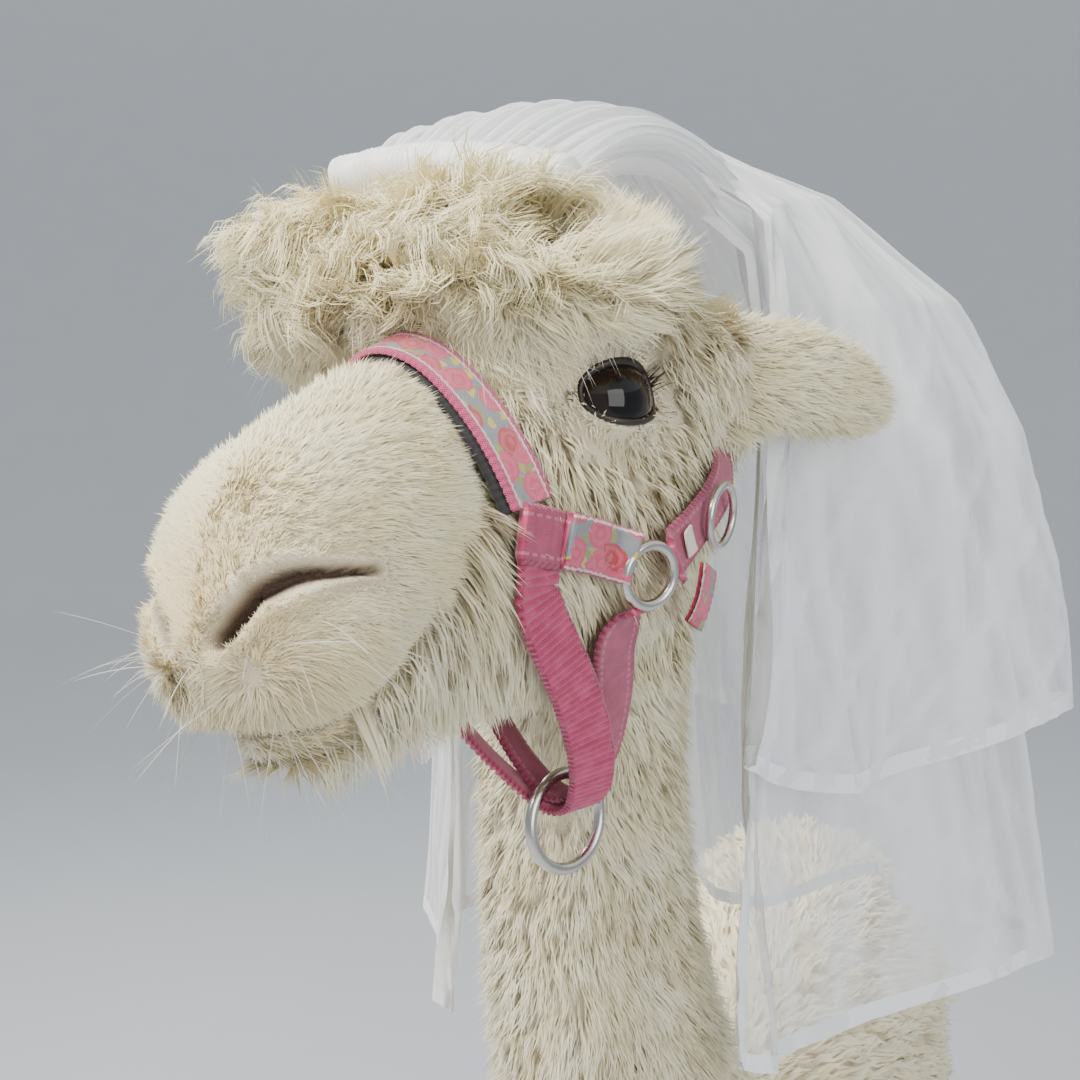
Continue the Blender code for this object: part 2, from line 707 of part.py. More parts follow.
def build_halter(head, surface):
    for side, word in ((1, "left"), (-1, "right")):
        def on(route):
            return [(side * left, *rest) for left, *rest in route]

        strap(head, surface, f"halter_square_{word}", on(SQUARE), PINK, thick=0.0040)
        strap(head, surface, f"halter_cheek_strap_{word}", on(CHEEK_STRAP), FLORAL)
        left, forward, up = CHEEK_RING_AT
        middle, out = snug(surface, side * left, forward, up)
        ring(f"halter_cheek_ring_{word}", middle + out * RING_LIFT, out, *CHEEK_RING)
    strap(head, surface, "halter_noseband", mirrored_route(NOSEBAND), FLORAL, groove=False)
    strap(head, surface, "halter_pad", mirrored_route(NOSEBAND), BLACK,
          low=-SINK - GAP - PAD_THICK, thick=PAD_THICK, width=WEB + 0.004)
    hug = [*CROWN_HUG, *CROWN_HUG[-2::-1]]
    strap(head, surface, "halter_crown_strap", mirrored_route(CROWN_STRAP), PINK, hug=hug)
    strap(head, surface, "halter_label", LABEL_ROUTE, LABEL, low=WEB_THICK - SINK + 0.0014,
          thick=0.0008, width=0.011, groove=False)
    middle, out = snug(surface, *BUCKLE_AT)
    ring("halter_buckle", middle + out * RING_LIFT, out, *BUCKLE, steps=12)
    hug = [*CHIN_HUG, *CHIN_HUG[-2::-1]]
    strap(head, surface, "halter_chin_strap", mirrored_route(CHIN_STRAP), PINK, hug=hug)
    hug = [*THROAT_HUG, *THROAT_HUG[-2::-1]]
    strap(head, surface, "halter_throat_strap", mirrored_route(THROAT_STRAP), PINK, hug=hug)
    strap(head, surface, "halter_strap_end", STRAP_END, PINK, low=0.0020, width=0.017,
          groove=False)
    turn = Matrix.Rotation(LEAD_RING_TURN, 3, "Z")
    ring("halter_lead_ring", head_place(*LEAD_RING_AT), HEAD.to_3x3() @ turn @ X, *LEAD_RING, 20)


def soft_step(t):
    t = min(max(t, 0.0), 1.0)
    return t * t * (3 - 2 * t)


def veil_place(rows, sweep, along, down):
    """A point of one tier: along runs from -1 to 1 between the front edges, down from 0 to 1."""
    rank = down * (len(rows) - 1)
    i = min(int(rank), len(rows) - 2)
    back, side, front, height = (
        np.array(rows[i]) * (1 - rank + i) + np.array(rows[i + 1]) * (rank - i)
    )
    spread = abs(along)
    height -= 0.045 * spread**2 * (1 - down)
    fallen = UPPER_TIER[0][3] - height
    wide = soft_step(spread / WIDEST)
    close = soft_step((spread - WIDEST) / (HUGGING - WIDEST))
    if along < 0:
        side *= 1 + (RIGHT_SHARE - 1) * soft_step(fallen / 0.12)
    radius = back + (side - back) * wide + (front - side) * close
    fold = math.cos(math.pi * FOLDS * along) * 0.013 * down**0.8 * (1 - 0.8 * close)
    fold *= 1 - 0.75 * soft_step(-3 * along)
    angle = along * sweep
    out = Vector((math.sin(angle), math.cos(angle), 0))
    shift = X * PUFF_SHIFT * (1 - soft_step(fallen / 0.10)) * (1 - along) / 2
    return VEIL_LINE + out * (radius + fold) + Z * height + shift


def band_place(along, behind=0.0, lift=0.0):
    """A point of the band's middle line, or so far behind it and above it."""
    left, forward, up = BAND_AT
    rise = up + lift + BAND_SLOPE * BAND_HALF * along - BAND_BOW * along**2
    return head_place(left + along * BAND_HALF, forward - behind, rise)


def build_tier(name, rows, sweep, steps, lift):
    """One tier as a thin shell: off the band, puffed up to the poll, then down in folds."""
    bm = bmesh.new()
    grid = [[] for _ in range(steps + 2)]
    for c in range(VEIL_COLUMNS + 1):
        along = 2 * c / VEIL_COLUMNS - 1
        band = band_place(along, BAND_RADIUS + 0.004, lift)
        hung = [veil_place(rows, sweep, along, r / (steps - 1)) for r in range(steps)]
        puff = (band + hung[0]) / 2 + Z * PUFF
        for line, point in zip(grid, [band, puff, *hung]):
            line.append(bm.verts.new(point))
    for upper, lower in zip(grid, grid[1:]):
        for c in range(VEIL_COLUMNS):
            bm.faces.new((upper[c], upper[c + 1], lower[c + 1], lower[c]))
    obj = object_of(name, mesh_of(name, bm))
    shell = obj.modifiers.new("shell", "SOLIDIFY")
    shell.thickness = VEIL_THICK
    shell.offset = 0.0
    obj.data.materials.append(finish(name, TULLE, 0.6))
    return obj


def build_veil(head):
    route = [band_place(step / 4) for step in range(-4, 5)]
    band = tube_of("veil_band", route, BAND_RADIUS, "alpaca")
    band.data.materials.append(finish("veil_band", TULLE, 0.6))
    cut(head, grown_copy(band, CLEAR, "veil_band_seat"))
    build_tier("veil_upper_tier", UPPER_TIER, UPPER_SWEEP, 6, 0.006)
    build_tier("veil_lower_tier", LOWER_TIER, LOWER_SWEEP, 7, -0.001)


def press_face(head, surface):
    """The mouth line and the nostril slits."""
    line = [snug(surface, *row)[0] for row in eased(mirrored_route(MOUTH), 2)]
    cut(head, tube_of("mouth", line, MOUTH_RADIUS, "cutters"))
    for side, word in ((1, "left"), (-1, "right")):
        rows = eased([(side * left, *rest) for left, *rest in NOSTRIL], 2)
        line = [snug(surface, *row)[0] for row in rows]
        cut(head, tube_of(f"nostril_{word}", line, NOSTRIL_RADIUS, "cutters"))


def set_down():
    """Hangs every piece on one empty, so that zero lies on the floor under the model's middle."""
    graph = bpy.context.evaluated_depsgraph_get()
    corners = [
        obj.matrix_world @ Vector(corner)
        for obj in bpy.data.collections["alpaca"].objects
        for corner in obj.evaluated_get(graph).bound_box
    ]
    low = [min(corner[i] for corner in corners) for i in range(3)]
    high = [max(corner[i] for corner in corners) for i in range(3)]
    anchor = object_of("alpaca_origin", None)
    for obj in list(bpy.data.objects):
        if obj.type == "MESH":
            obj.parent = anchor
            obj.data.shade_smooth()
    anchor.location = (-(low[0] + high[0]) / 2, -(low[1] + high[1]) / 2, -low[2])


def main():
    clear_scene()
    body = fused_body()
    surface_bm = bmesh.new()
    surface_bm.from_mesh(body.data)
    surface = BVHTree.FromBMesh(surface_bm)
    head = part_of(body, "head", [(HEAD_CUT, 1)], HEAD_TRIANGLES)
    neck = part_of(body, "neck", [(HEAD_CUT, -1), (NECK_CUT, 1)], NECK_TRIANGLES)
    part_of(body, "trunk", [(NECK_CUT, -1), (TAIL_CUT, -1), (FORELEG_CUT, -1),
                            (HINDLEG_CUT, -1)], TRUNK_TRIANGLES)
    part_of(body, "tail", [(TAIL_CUT, 1)], TAIL_TRIANGLES)
    for side, word in ((1, "left"), (-1, "right")):
        front = part_of(body, f"leg_front_{word}", [(FORELEG_CUT, 1), (GROUND, 1),
                        ((Vector((0, 0.05, 0)), -Y), 1)], LEG_TRIANGLES, side)
        build_nails(front, FORELEG, FORELEG_SPREAD, side, f"front_{word}")
        hind = part_of(body, f"leg_hind_{word}", [(HINDLEG_CUT, 1), (GROUND, 1),
                       ((Vector((0, 0.05, 0)), Y), 1)], LEG_TRIANGLES, side)
        build_nails(hind, HINDLEG, HINDLEG_SPREAD, side, f"hind_{word}")
        build_eye(head, side, f"eye_{word}")
        build_ear(head, neck, side, f"ear_{word}")
    press_face(head, surface)
    build_halter(head, surface)
    build_veil(head)
    thinned(head, HEAD_TRIANGLES)
    thinned(neck, NECK_TRIANGLES)
    set_down()


main()
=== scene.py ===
# %% [markdown]
# # A standing alpaca in a halter and a bridal veil
# This lesson dresses a plain solid model of an alpaca until it looks alive. The solids already have
# the true outline, out to the tips of the coat. So each step lays something real on or just inside
# them: a skin, a coat of many small locks, eyes, a webbing halter, and a veil of two tiers.
# Lengths are in metres. The animal faces -Y, and its left side is +X.

# %% Frame and tools
import math

import bpy
import numpy as np
from mathutils import Matrix, Vector
from mathutils.bvhtree import BVHTree


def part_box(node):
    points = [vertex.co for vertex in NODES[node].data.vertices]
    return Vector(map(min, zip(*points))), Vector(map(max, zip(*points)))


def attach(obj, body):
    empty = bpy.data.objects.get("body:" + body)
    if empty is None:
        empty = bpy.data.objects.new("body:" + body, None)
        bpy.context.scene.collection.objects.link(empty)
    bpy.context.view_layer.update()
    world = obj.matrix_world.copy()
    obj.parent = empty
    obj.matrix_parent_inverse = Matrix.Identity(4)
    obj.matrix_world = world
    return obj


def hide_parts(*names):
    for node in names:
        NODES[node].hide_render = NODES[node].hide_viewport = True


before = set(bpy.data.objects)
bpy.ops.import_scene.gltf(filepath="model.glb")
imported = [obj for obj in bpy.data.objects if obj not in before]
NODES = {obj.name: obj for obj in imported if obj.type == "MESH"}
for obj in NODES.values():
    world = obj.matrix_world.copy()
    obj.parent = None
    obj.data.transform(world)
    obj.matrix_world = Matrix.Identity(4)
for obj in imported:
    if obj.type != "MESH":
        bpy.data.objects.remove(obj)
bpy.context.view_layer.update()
SHARE = 1.0
print("solids", len(NODES))

# %% [markdown]
# A head has its own directions, because it turns and tilts on the neck. Everything on the face is
# placed by how far left, forward and up it lies from the point between the eyes. The eyes are the
# surest landmarks on any head, so the frame is found again from them.

# %% The head's own directions
HEAD_TURN = (
    Matrix.Rotation(math.radians(-12.5), 3, "Z")
    @ Matrix.Rotation(math.radians(-2.0), 3, "X")
    @ Matrix.Rotation(math.radians(-6.7), 3, "Y")
)


def middle(node):
    """The middle of a solid's box."""
    low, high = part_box(node)
    return (low + high) / 2


EYE_RADIUS = 0.0172
HEAD_AT = (middle("eye_left") + middle("eye_right")) / 2 - HEAD_TURN @ Vector((0, 0.009, -0.002))
TURN = np.array(HEAD_TURN)


def head_place(left, forward, up):
    return HEAD_AT + HEAD_TURN @ Vector((left, -forward, up))


def head_way(left, forward, up):
    """Directions given as left, forward and up, turned into the model's own."""
    rows = np.stack(np.broadcast_arrays(left, -np.asarray(forward), up), axis=-1)
    return rows @ TURN.T


def in_head(places):
    """Left, forward and up of many places."""
    local = (places - np.array(HEAD_AT)) @ TURN
    return local[:, 0], -local[:, 1], local[:, 2]


def soft(values, low, high):
    """Eases from 0 at low to 1 at high."""
    t = np.clip((values - low) / (high - low), 0, 1)
    return t * t * (3 - 2 * t)


def unit(rows):
    return rows / np.maximum(np.linalg.norm(rows, axis=-1, keepdims=True), 1e-12)


def eased(stations, per_span):
    """Rows between the stations, on a smooth curve through them."""
    rows = np.array(stations, float)
    ends = np.vstack([2 * rows[0] - rows[1], rows, 2 * rows[-1] - rows[-2]])
    made = []
    for i in range(1, len(ends) - 2):
        a, b, c, d = ends[i - 1 : i + 3]
        for k in range(per_span):
            t = k / per_span
            made.append(0.5 * (2 * b + (c - a) * t + (2 * a - 5 * b + 4 * c - d) * t**2
                               + (3 * b - a - 3 * c + d) * t**3))
    made.append(rows[-1])
    return np.array(made)


print("head at", tuple(round(c, 4) for c in HEAD_AT))

# %% [markdown]
# Colours and finishes are worked out by small sums on shader nodes. Writing each node by hand would
# hide the idea, so a value of the shader is wrapped in a class that adds and multiplies like a
# number. One method, new, makes any other kind of node.

# %% Sums on shader nodes
class Value:
    """One output of a shader node."""

    def __init__(self, tree, socket):
        self.tree, self.socket = tree, socket

    def new(self, kind, sockets=None, out=0, **settings):
        node = self.tree.nodes.new(kind)
        for word, value in settings.items():
            setattr(node, word, value)
        for key, value in (sockets or {}).items():
            target = node.inputs[key]
            if isinstance(value, Value):
                self.tree.links.new(value.socket, target)
            elif target.type == "RGBA":
                target.default_value = (*value[:3], 1.0)
            else:
                target.default_value = value
        return Value(self.tree, node.outputs[out])

    def math(self, operation, *others):
        sockets = dict(enumerate((self, *others)))
        return self.new("ShaderNodeMath", sockets, operation=operation)

    def __add__(self, other):
        return self.math("ADD", other)

    def __sub__(self, other):
        return self.math("SUBTRACT", other)

    def __mul__(self, other):
        return self.math("MULTIPLY", other)

    def __truediv__(self, other):
        return self.math("DIVIDE", other)

    def __rsub__(self, other):
        return (self * -1.0) + other

    __radd__, __rmul__ = __add__, __mul__

    def ease(self, low, high):
        """0 at low and below, 1 at high and above, smooth between."""
        return self.new("ShaderNodeMapRange", {"Value": self, "From Min": low, "From Max": high},
                        interpolation_type="SMOOTHSTEP")

    def mix(self, first, second):
        """The first colour where this is 0 and the second where it is 1."""
        return self.new("ShaderNodeMix", {0: self, 6: first, 7: second}, 2, data_type="RGBA")

    def noise(self, scale, detail=2.0):
        return self.new("ShaderNodeTexNoise", {"Vector": self, "Scale": scale, "Detail": detail})

    def part(self, axis):
        return self.new("ShaderNodeSeparateXYZ", {0: self}, axis)


def material(name, rough, metal=0.0, coat=0.0, sheen=0.0, specular=0.5):
    """A new Principled material, its object coordinates, and ways to feed and to bump it."""
    made = bpy.data.materials.new(name)
    made.use_nodes = True
    tree = made.node_tree
    shader = tree.nodes["Principled BSDF"]
    shader.inputs["Roughness"].default_value = rough
    shader.inputs["Metallic"].default_value = metal
    shader.inputs["Coat Weight"].default_value = coat
    shader.inputs["Coat Roughness"].default_value = 0.03
    shader.inputs["Sheen Weight"].default_value = sheen
    shader.inputs["Specular IOR Level"].default_value = specular
    coords = Value(tree, tree.nodes.new("ShaderNodeTexCoord").outputs["Object"])

    def feed(socket, value):
        if isinstance(value, Value):
            tree.links.new(value.socket, shader.inputs[socket])
        else:
            shader.inputs[socket].default_value = (*value, 1.0)

    def bump(height, distance):
        made_bump = coords.new("ShaderNodeBump", {"Height": height, "Distance": distance})
        tree.links.new(made_bump.socket, shader.inputs["Normal"])

    return made, coords, feed, bump


def stored(coords, name):
    """A number kept on the mesh's points."""
    return coords.new("ShaderNodeAttribute", out="Fac", attribute_name=name)


# %% [markdown]
# Pieces made of rows of points are easier to follow when one function skins them. It takes a grid
# of places, closes it round where asked, and keeps a map of the distance along and across in
# metres, so that a weave or a print keeps its true size.

# %% Skinning rows of points
def surface_of(name, grid, made_of, closed=False, map_size=None):
    """A smooth-shaded sheet through a grid of places, rows by columns."""
    rows, columns = grid.shape[:2]
    mesh = bpy.data.meshes.new(name)
    around = columns if closed else columns - 1
    faces = []
    for r in range(rows - 1):
        for c in range(around):
            d = (c + 1) % columns
            faces.append((r * columns + c, r * columns + d,
                          (r + 1) * columns + d, (r + 1) * columns + c))
    if closed:
        faces.append(tuple(range(columns))[::-1])
        faces.append(tuple(range((rows - 1) * columns, rows * columns)))
    mesh.from_pydata(grid.reshape(-1, 3).tolist(), [], faces)
    obj = bpy.data.objects.new(name, mesh)
    bpy.context.scene.collection.objects.link(obj)
    if map_size is not None:
        layer = mesh.uv_layers.new(name="weave")
        flat = map_size.reshape(-1, 2)
        index = np.empty(len(mesh.loops), np.int32)
        mesh.loops.foreach_get("vertex_index", index)
        layer.data.foreach_set("uv", flat[index].ravel())
    mesh.materials.append(made_of)
    bpy.ops.object.select_all(action="DESELECT")
    obj.select_set(True)
    bpy.context.view_layer.objects.active = obj
    if closed:
        bpy.ops.object.mode_set(mode="EDIT")
        bpy.ops.mesh.select_all(action="SELECT")
        bpy.ops.mesh.normals_make_consistent(inside=False)
        bpy.ops.object.mode_set(mode="OBJECT")
    bpy.ops.object.shade_smooth()
    return obj


def tube_rows(spine, radii, steps=8):
    """Rings round a curve, ready to be skinned."""
    along = unit(np.gradient(spine, axis=0))
    guide = np.array([0.31, 0.22, 0.93])
    across = unit(np.cross(along, guide))
    other = np.cross(along, across)
    turn = np.linspace(0, 2 * math.pi, steps, endpoint=False)[None, :, None]
    around = across[:, None] * np.cos(turn) + other[:, None] * np.sin(turn)
    return spine[:, None] + around * np.asarray(radii)[:, None, None]


def place_piece(obj, slot, *nodes):
    """Hangs the piece under the root and hides the solids that it stands for. The slot is not used."""
    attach(obj, "root")
    if nodes:
        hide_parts(*nodes)
    return obj


# %% [markdown]
# ## The skin
# A real coat grows from one unbroken skin, so the separate solids of flesh are copied, joined and
# fused in a fine grid. Small balls fill the eye sockets first, so that the lids can be drawn over
# round eyes later.

# %% Fusing the flesh into one skin
FLESH = ["head", "neck", "trunk", "tail", "leg_front_left", "leg_front_right", "leg_hind_left",
         "leg_hind_right", "ear_left", "ear_right"]
GRID = 0.0058
bpy.ops.object.select_all(action="DESELECT")
for name in FLESH:
    copy = bpy.data.objects.new(f"{name}_flesh", NODES[name].data.copy())
    bpy.context.scene.collection.objects.link(copy)
    copy.select_set(True)
    bpy.context.view_layer.objects.active = copy
flesh = list(bpy.context.selected_objects)
for name in ("eye_left", "eye_right"):
    bpy.ops.mesh.primitive_uv_sphere_add(radius=EYE_RADIUS + 0.001, location=middle(name))
    flesh.append(bpy.context.object)
for obj in flesh:
    obj.select_set(True)
bpy.context.view_layer.objects.active = flesh[0]
bpy.ops.object.join()
skin = bpy.context.object
skin.name = "skin"
bpy.ops.object.transform_apply(location=True, rotation=True, scale=True)
swell = skin.modifiers.new("swell", "DISPLACE")
swell.strength = 0.0022
swell.mid_level = 0.0
fuse = skin.modifiers.new("fuse", "REMESH")
fuse.mode = "VOXEL"
fuse.voxel_size = GRID
melt = skin.modifiers.new("melt", "SMOOTH")
melt.factor = 0.5
melt.iterations = 8
for name in ("swell", "fuse", "melt"):
    bpy.ops.object.modifier_apply(modifier=name)
print("skin", len(skin.data.vertices), "points")

# %% [markdown]
# The solids reach to the tips of the coat, so the skin is drawn in by the coat's depth: only a few
# millimetres on the nose and shins, and almost two centimetres under the curly topknot. It moves in
# small steps with smoothing between, which keeps folds from crossing.

# %% Drawing the skin in by the coat's depth
CUT_AT = np.array(head_place(0.0, 0.080, -0.062))
CUT_WAY = TURN @ np.array([0, -0.793, 0.609])
EYES = {1: np.array(middle("eye_left")), -1: np.array(middle("eye_right"))}
EAR_AXIS = np.array([(0.054, -0.062, 0.014), (0.079, -0.115, 0.009), (0.090, -0.188, 0.000)])


def headward(places):
    """How far each place lies on the head's side of the plane that parts head and neck."""
    return (places - CUT_AT) @ CUT_WAY


def from_eye(places):
    return np.minimum(*(np.linalg.norm(places - EYES[side], axis=1) for side in (1, -1)))


def from_curve(places, curve):
    """The distance from each place to the nearest point of a curve."""
    best = np.full(len(places), 9.0)
    for point in curve:
        best = np.minimum(best, np.linalg.norm(places - point, axis=1))
    return best


EAR_LINES = [np.array([head_place(side * l, f, u) for l, f, u in eased(EAR_AXIS, 6)])
             for side in (1, -1)]


def from_ear(places):
    return np.minimum(*(from_curve(places, line) for line in EAR_LINES))


def crown(places):
    """1 on the topknot, 0 elsewhere."""
    _, forward, up = in_head(places)
    edge = 0.022 + 0.25 * np.maximum(forward, 0) + 0.10 * np.maximum(-forward - 0.06, 0)
    return (soft(up, edge, edge + 0.014) * soft(forward, 0.058, 0.044)
            * (headward(places) > 0.01) * soft(from_ear(places), 0.020, 0.030))


def coat_depth(places):
    """How far the wool reaches above the skin there."""
    forward = in_head(places)[1]
    head = soft(headward(places), -0.03, 0.03)
    body = 0.012 + 0.002 * soft(places[:, 2], 0.95, 0.80)
    body += (0.0055 - body) * soft(places[:, 2], 0.46, 0.34)
    body += (0.0015 - body) * soft(places[:, 2], 0.070, 0.030)
    face = 0.0095 + (0.0032 - 0.0095) * soft(forward, 0.020, 0.062)
    face += (0.0180 - face) * crown(places)
    depth = body + (face - body) * head
    depth += (0.0030 - depth) * soft(from_ear(places), 0.032, 0.022)
    depth += (0.0012 - depth) * soft(from_eye(places), 0.036, 0.022)
    return depth


def points_of(obj):
    rows = np.empty(len(obj.data.vertices) * 3)
    obj.data.vertices.foreach_get("co", rows)
    return rows.reshape(-1, 3)


def normals_of(obj):
    rows = np.empty(len(obj.data.vertices) * 3, np.float32)
    obj.data.vertex_normals.foreach_get("vector", rows)
    return rows.reshape(-1, 3).astype(float)


def move_points(obj, places):
    obj.data.vertices.foreach_set("co", places.ravel())
    obj.data.update()


def edges_of(obj):
    rows = np.empty(len(obj.data.edges) * 2, np.int32)
    obj.data.edges.foreach_get("vertices", rows)
    return rows.reshape(-1, 2)


def relaxed(places, edges, times, weight=None):
    """Each point drawn towards the mean of its neighbours."""
    count = np.bincount(edges.ravel(), minlength=len(places))[:, None]
    for _ in range(times):
        total = np.zeros_like(places)
        for axis in range(3):
            total[:, axis] = (
                np.bincount(edges[:, 0], places[edges[:, 1], axis], len(places))
                + np.bincount(edges[:, 1], places[edges[:, 0], axis], len(places)))
        pull = 0.5 if weight is None else 0.5 * weight[:, None]
        places = places + (total / count - places) * pull
    return places


STEPS_IN = 5
depth = coat_depth(points_of(skin)) + 0.0008
edges = edges_of(skin)
for _ in range(STEPS_IN):
    places = points_of(skin) - normals_of(skin) * (depth / STEPS_IN)[:, None]
    move_points(skin, relaxed(places, edges, 1))
move_points(skin, relaxed(points_of(skin), edges, 3, soft(depth, 0.004, 0.010)))
print("skin drawn in by", round(depth.min() * 1000, 1), "to", round(depth.max() * 1000, 1), "mm")

# %% [markdown]
# The face needs a finer mesh than the flank. Faces near the eyes, nostrils and mouth are divided
# again, where the lids and slits will be pressed.

# %% A finer mesh on the face
MOUTH = ((0.0345, 0.0830, -0.0810), (0.0325, 0.0950, -0.0875), (0.0290, 0.1060, -0.0940),
         (0.0210, 0.1150, -0.0985), (0.0120, 0.1265, -0.0985), (0.0000, 0.1330, -0.0975))
MOUTH += tuple((-left, *rest) for left, *rest in MOUTH[-2::-1])
NOSTRIL = ((0.0095, 0.1400, -0.0665), (0.0160, 0.1415, -0.0605), (0.0225, 0.1390, -0.0545),
           (0.0300, 0.1310, -0.0510), (0.0345, 0.1190, -0.0510), (0.0355, 0.1080, -0.0520))


def laid_on_skin(curve):
    """The curve's points, each moved to the nearest point of the skin."""
    tree = BVHTree.FromPolygons([v.co for v in skin.data.vertices],
                                [p.vertices for p in skin.data.polygons])
    return np.array([tree.find_nearest(head_place(*row))[0] for row in curve])


MOUTH_LINE = laid_on_skin(eased(MOUTH, 10))
NOSTRILS = [laid_on_skin([(side * left, *rest) for left, *rest in eased(NOSTRIL, 10)])
            for side in (1, -1)]


def from_slits(places):
    found = from_curve(places, MOUTH_LINE)
    for line in NOSTRILS:
        found = np.minimum(found, from_curve(places, line))
    return found


def face_middles(obj):
    rows = np.empty(len(obj.data.polygons) * 3)
    obj.data.polygons.foreach_get("center", rows)
    return rows.reshape(-1, 3)


def divide(obj, wanted):
    bpy.ops.object.mode_set(mode="EDIT")
    bpy.ops.mesh.select_all(action="DESELECT")
    bpy.ops.object.mode_set(mode="OBJECT")
    obj.data.polygons.foreach_set("select", wanted)
    bpy.ops.object.mode_set(mode="EDIT")
    bpy.ops.mesh.select_mode(type="FACE")
    bpy.ops.mesh.subdivide(number_cuts=1)
    bpy.ops.object.mode_set(mode="OBJECT")


middles = face_middles(skin)
near = (in_head(middles)[1] > 0.07) & (headward(middles) > 0)
divide(skin, near | (from_eye(middles) < 0.032))
middles = face_middles(skin)
divide(skin, (from_slits(middles) < 0.010) | (from_eye(middles) < 0.027))
print("skin", len(skin.data.polygons), "faces")

# %% [markdown]
# An eyelid is skin drawn over the ball of the eye. Skin inside the almond of the opening is tucked
# behind the ball, and skin round it is laid a little above the ball and eased out to the cheek. The
# nostrils and the mouth are pressed in and remembered, and painted shade darkens them and the eyes'
# inner corners.

# %% Eyelids, nostrils and mouth
LOOK = math.radians(31)
LID = 0.0016
OPEN_ALONG, OPEN_ACROSS = 0.0160, 0.0108
OPEN_BACK, OPEN_RAISED = 0.0022, 0.0020  # the opening lies a little behind and above the ball


def eye_axes(side):
    """Out of the head, along the lids towards the tail, and up, at one eye."""
    turned = HEAD_TURN @ Matrix.Rotation(-side * LOOK, 3, "Z")
    axes = [np.array(turned @ Vector(way)) for way in ((side, 0, 0), (0, 1, 0), (0, 0, 1))]
    return axes


def lid_edge(side, count):
    """Ways from the eye's middle to the rim of its opening."""
    out, along, upward = eye_axes(side)
    rim = []
    for k in range(count):
        turn = 2 * math.pi * k / count
        a = OPEN_BACK + OPEN_ALONG * math.cos(turn)
        lift = OPEN_ACROSS if math.sin(turn) > 0 else OPEN_ACROSS * 0.92
        c = OPEN_RAISED + lift * math.copysign(abs(math.sin(turn)) ** 0.9, math.sin(turn))
        rim.append(out * math.sqrt(max(EYE_RADIUS**2 - a * a - c * c, 2e-5)) + along * a
                   + upward * c)
    return unit(np.array(rim))


places, ways = points_of(skin), normals_of(skin)
for side in (1, -1):
    out, along, upward = eye_axes(side)
    arm = places - EYES[side]
    reach = np.linalg.norm(arm, axis=1)
    ball = arm / reach[:, None] * EYE_RADIUS
    ratio = np.hypot((ball @ along - OPEN_BACK) / OPEN_ALONG,
                     (ball @ upward - OPEN_RAISED) / OPEN_ACROSS)
    facing = arm @ out > 0
    near = (reach < 0.034) & facing
    close = near * soft(ratio, 2.6, 1.25) * soft(reach, 0.034, 0.022)
    wanted = reach + (EYE_RADIUS + LID - reach) * close
    wanted = np.where(near & (ratio < 1.0), EYE_RADIUS - 0.004, np.maximum(wanted, 0))
    places += np.where(near, wanted / reach - 1, 0)[:, None] * arm
slit = np.minimum(*(from_curve(places, line) for line in NOSTRILS))
slit *= 1 + 1.5 * soft(in_head(places)[1], 0.134, 0.112)  # narrower towards its back end
lips = from_curve(places, MOUTH_LINE)
press = 0.0070 * np.exp(-((slit / 0.0024) ** 2)) + 0.0070 * np.exp(-((lips / 0.0030) ** 2))
wing = 0.0016 * np.exp(-(((slit - 0.0065) / 0.0030) ** 2))
places += ways * (wing - press)[:, None]
move_points(skin, places)
corners = [EYES[side] + lid_edge(side, 4)[2] * (EYE_RADIUS + 0.001) - eye_axes(side)[1] * 0.003
           for side in (1, -1)]
from_inner_corners = from_curve(places, corners)
# Painted shade: the skin is darkened towards near black inside the pressed nostril slits, along the mouth line
# and at the eyes' inner corners.
dark = np.maximum.reduce([soft(slit, 0.0044, 0.0014), 0.8 * soft(lips, 0.0050, 0.0022),
                          0.8 * soft(from_inner_corners, 0.0040, 0.0015)])
skin.data.attributes.new("dark", "FLOAT", "POINT").data.foreach_set("value", dark)
bpy.ops.object.mode_set(mode="EDIT")
bpy.ops.mesh.select_all(action="SELECT")
bpy.ops.mesh.quads_convert_to_tris()
bpy.ops.object.mode_set(mode="OBJECT")
bpy.ops.object.shade_smooth()
skin_look, coords, feed, bump = material("skin", 0.7)
# Painted shade: the skin is the fleece's cream darkened for the shade deep between the locks; its patches
# differ at random.
patches = coords.noise(60.0).ease(0.35, 0.65)
cream_in_coat_shade = patches.mix((0.70, 0.60, 0.42), (0.78, 0.69, 0.51))
# Painted shade: the stored dark share turns the skin near black in the slits, the mouth line and the eye
# corners.
feed("Base Color", stored(coords, "dark").mix(cream_in_coat_shade, (0.090, 0.052, 0.034)))
bump(coords.noise(1400.0, 3.0), 0.0006)
skin.data.materials.clear()
skin.data.materials.append(skin_look)
place_piece(skin, "wool", *FLESH)
print("skin", len(skin.data.polygons), "triangles")

# %% [markdown]
# ## How the coat grows
# Fleece grows in locks: many fibres that start apart and lean together towards the tip. One function
# grows every part of the coat. It scatters roots over the skin, bends each lock over in the
# direction in which the coat lies there, curls it, and splits it into fine pointed blades.

# %% Places on the skin where hair can root
TRIS = np.empty(len(skin.data.polygons) * 3, np.int32)
skin.data.polygons.foreach_get("vertices", TRIS)
TRIS = TRIS.reshape(-1, 3)
SKIN_AT, SKIN_WAY = points_of(skin), normals_of(skin)
CORNERS = SKIN_AT[TRIS]
TRI_MID = CORNERS.mean(axis=1)
# The painted shade of the slits and eye corners, averaged on each face.
TRI_PAINTED_SHADE = dark[TRIS].mean(axis=1)
TRI_AREA = np.linalg.norm(np.cross(CORNERS[:, 1] - CORNERS[:, 0],
                                   CORNERS[:, 2] - CORNERS[:, 0]), axis=1) / 2


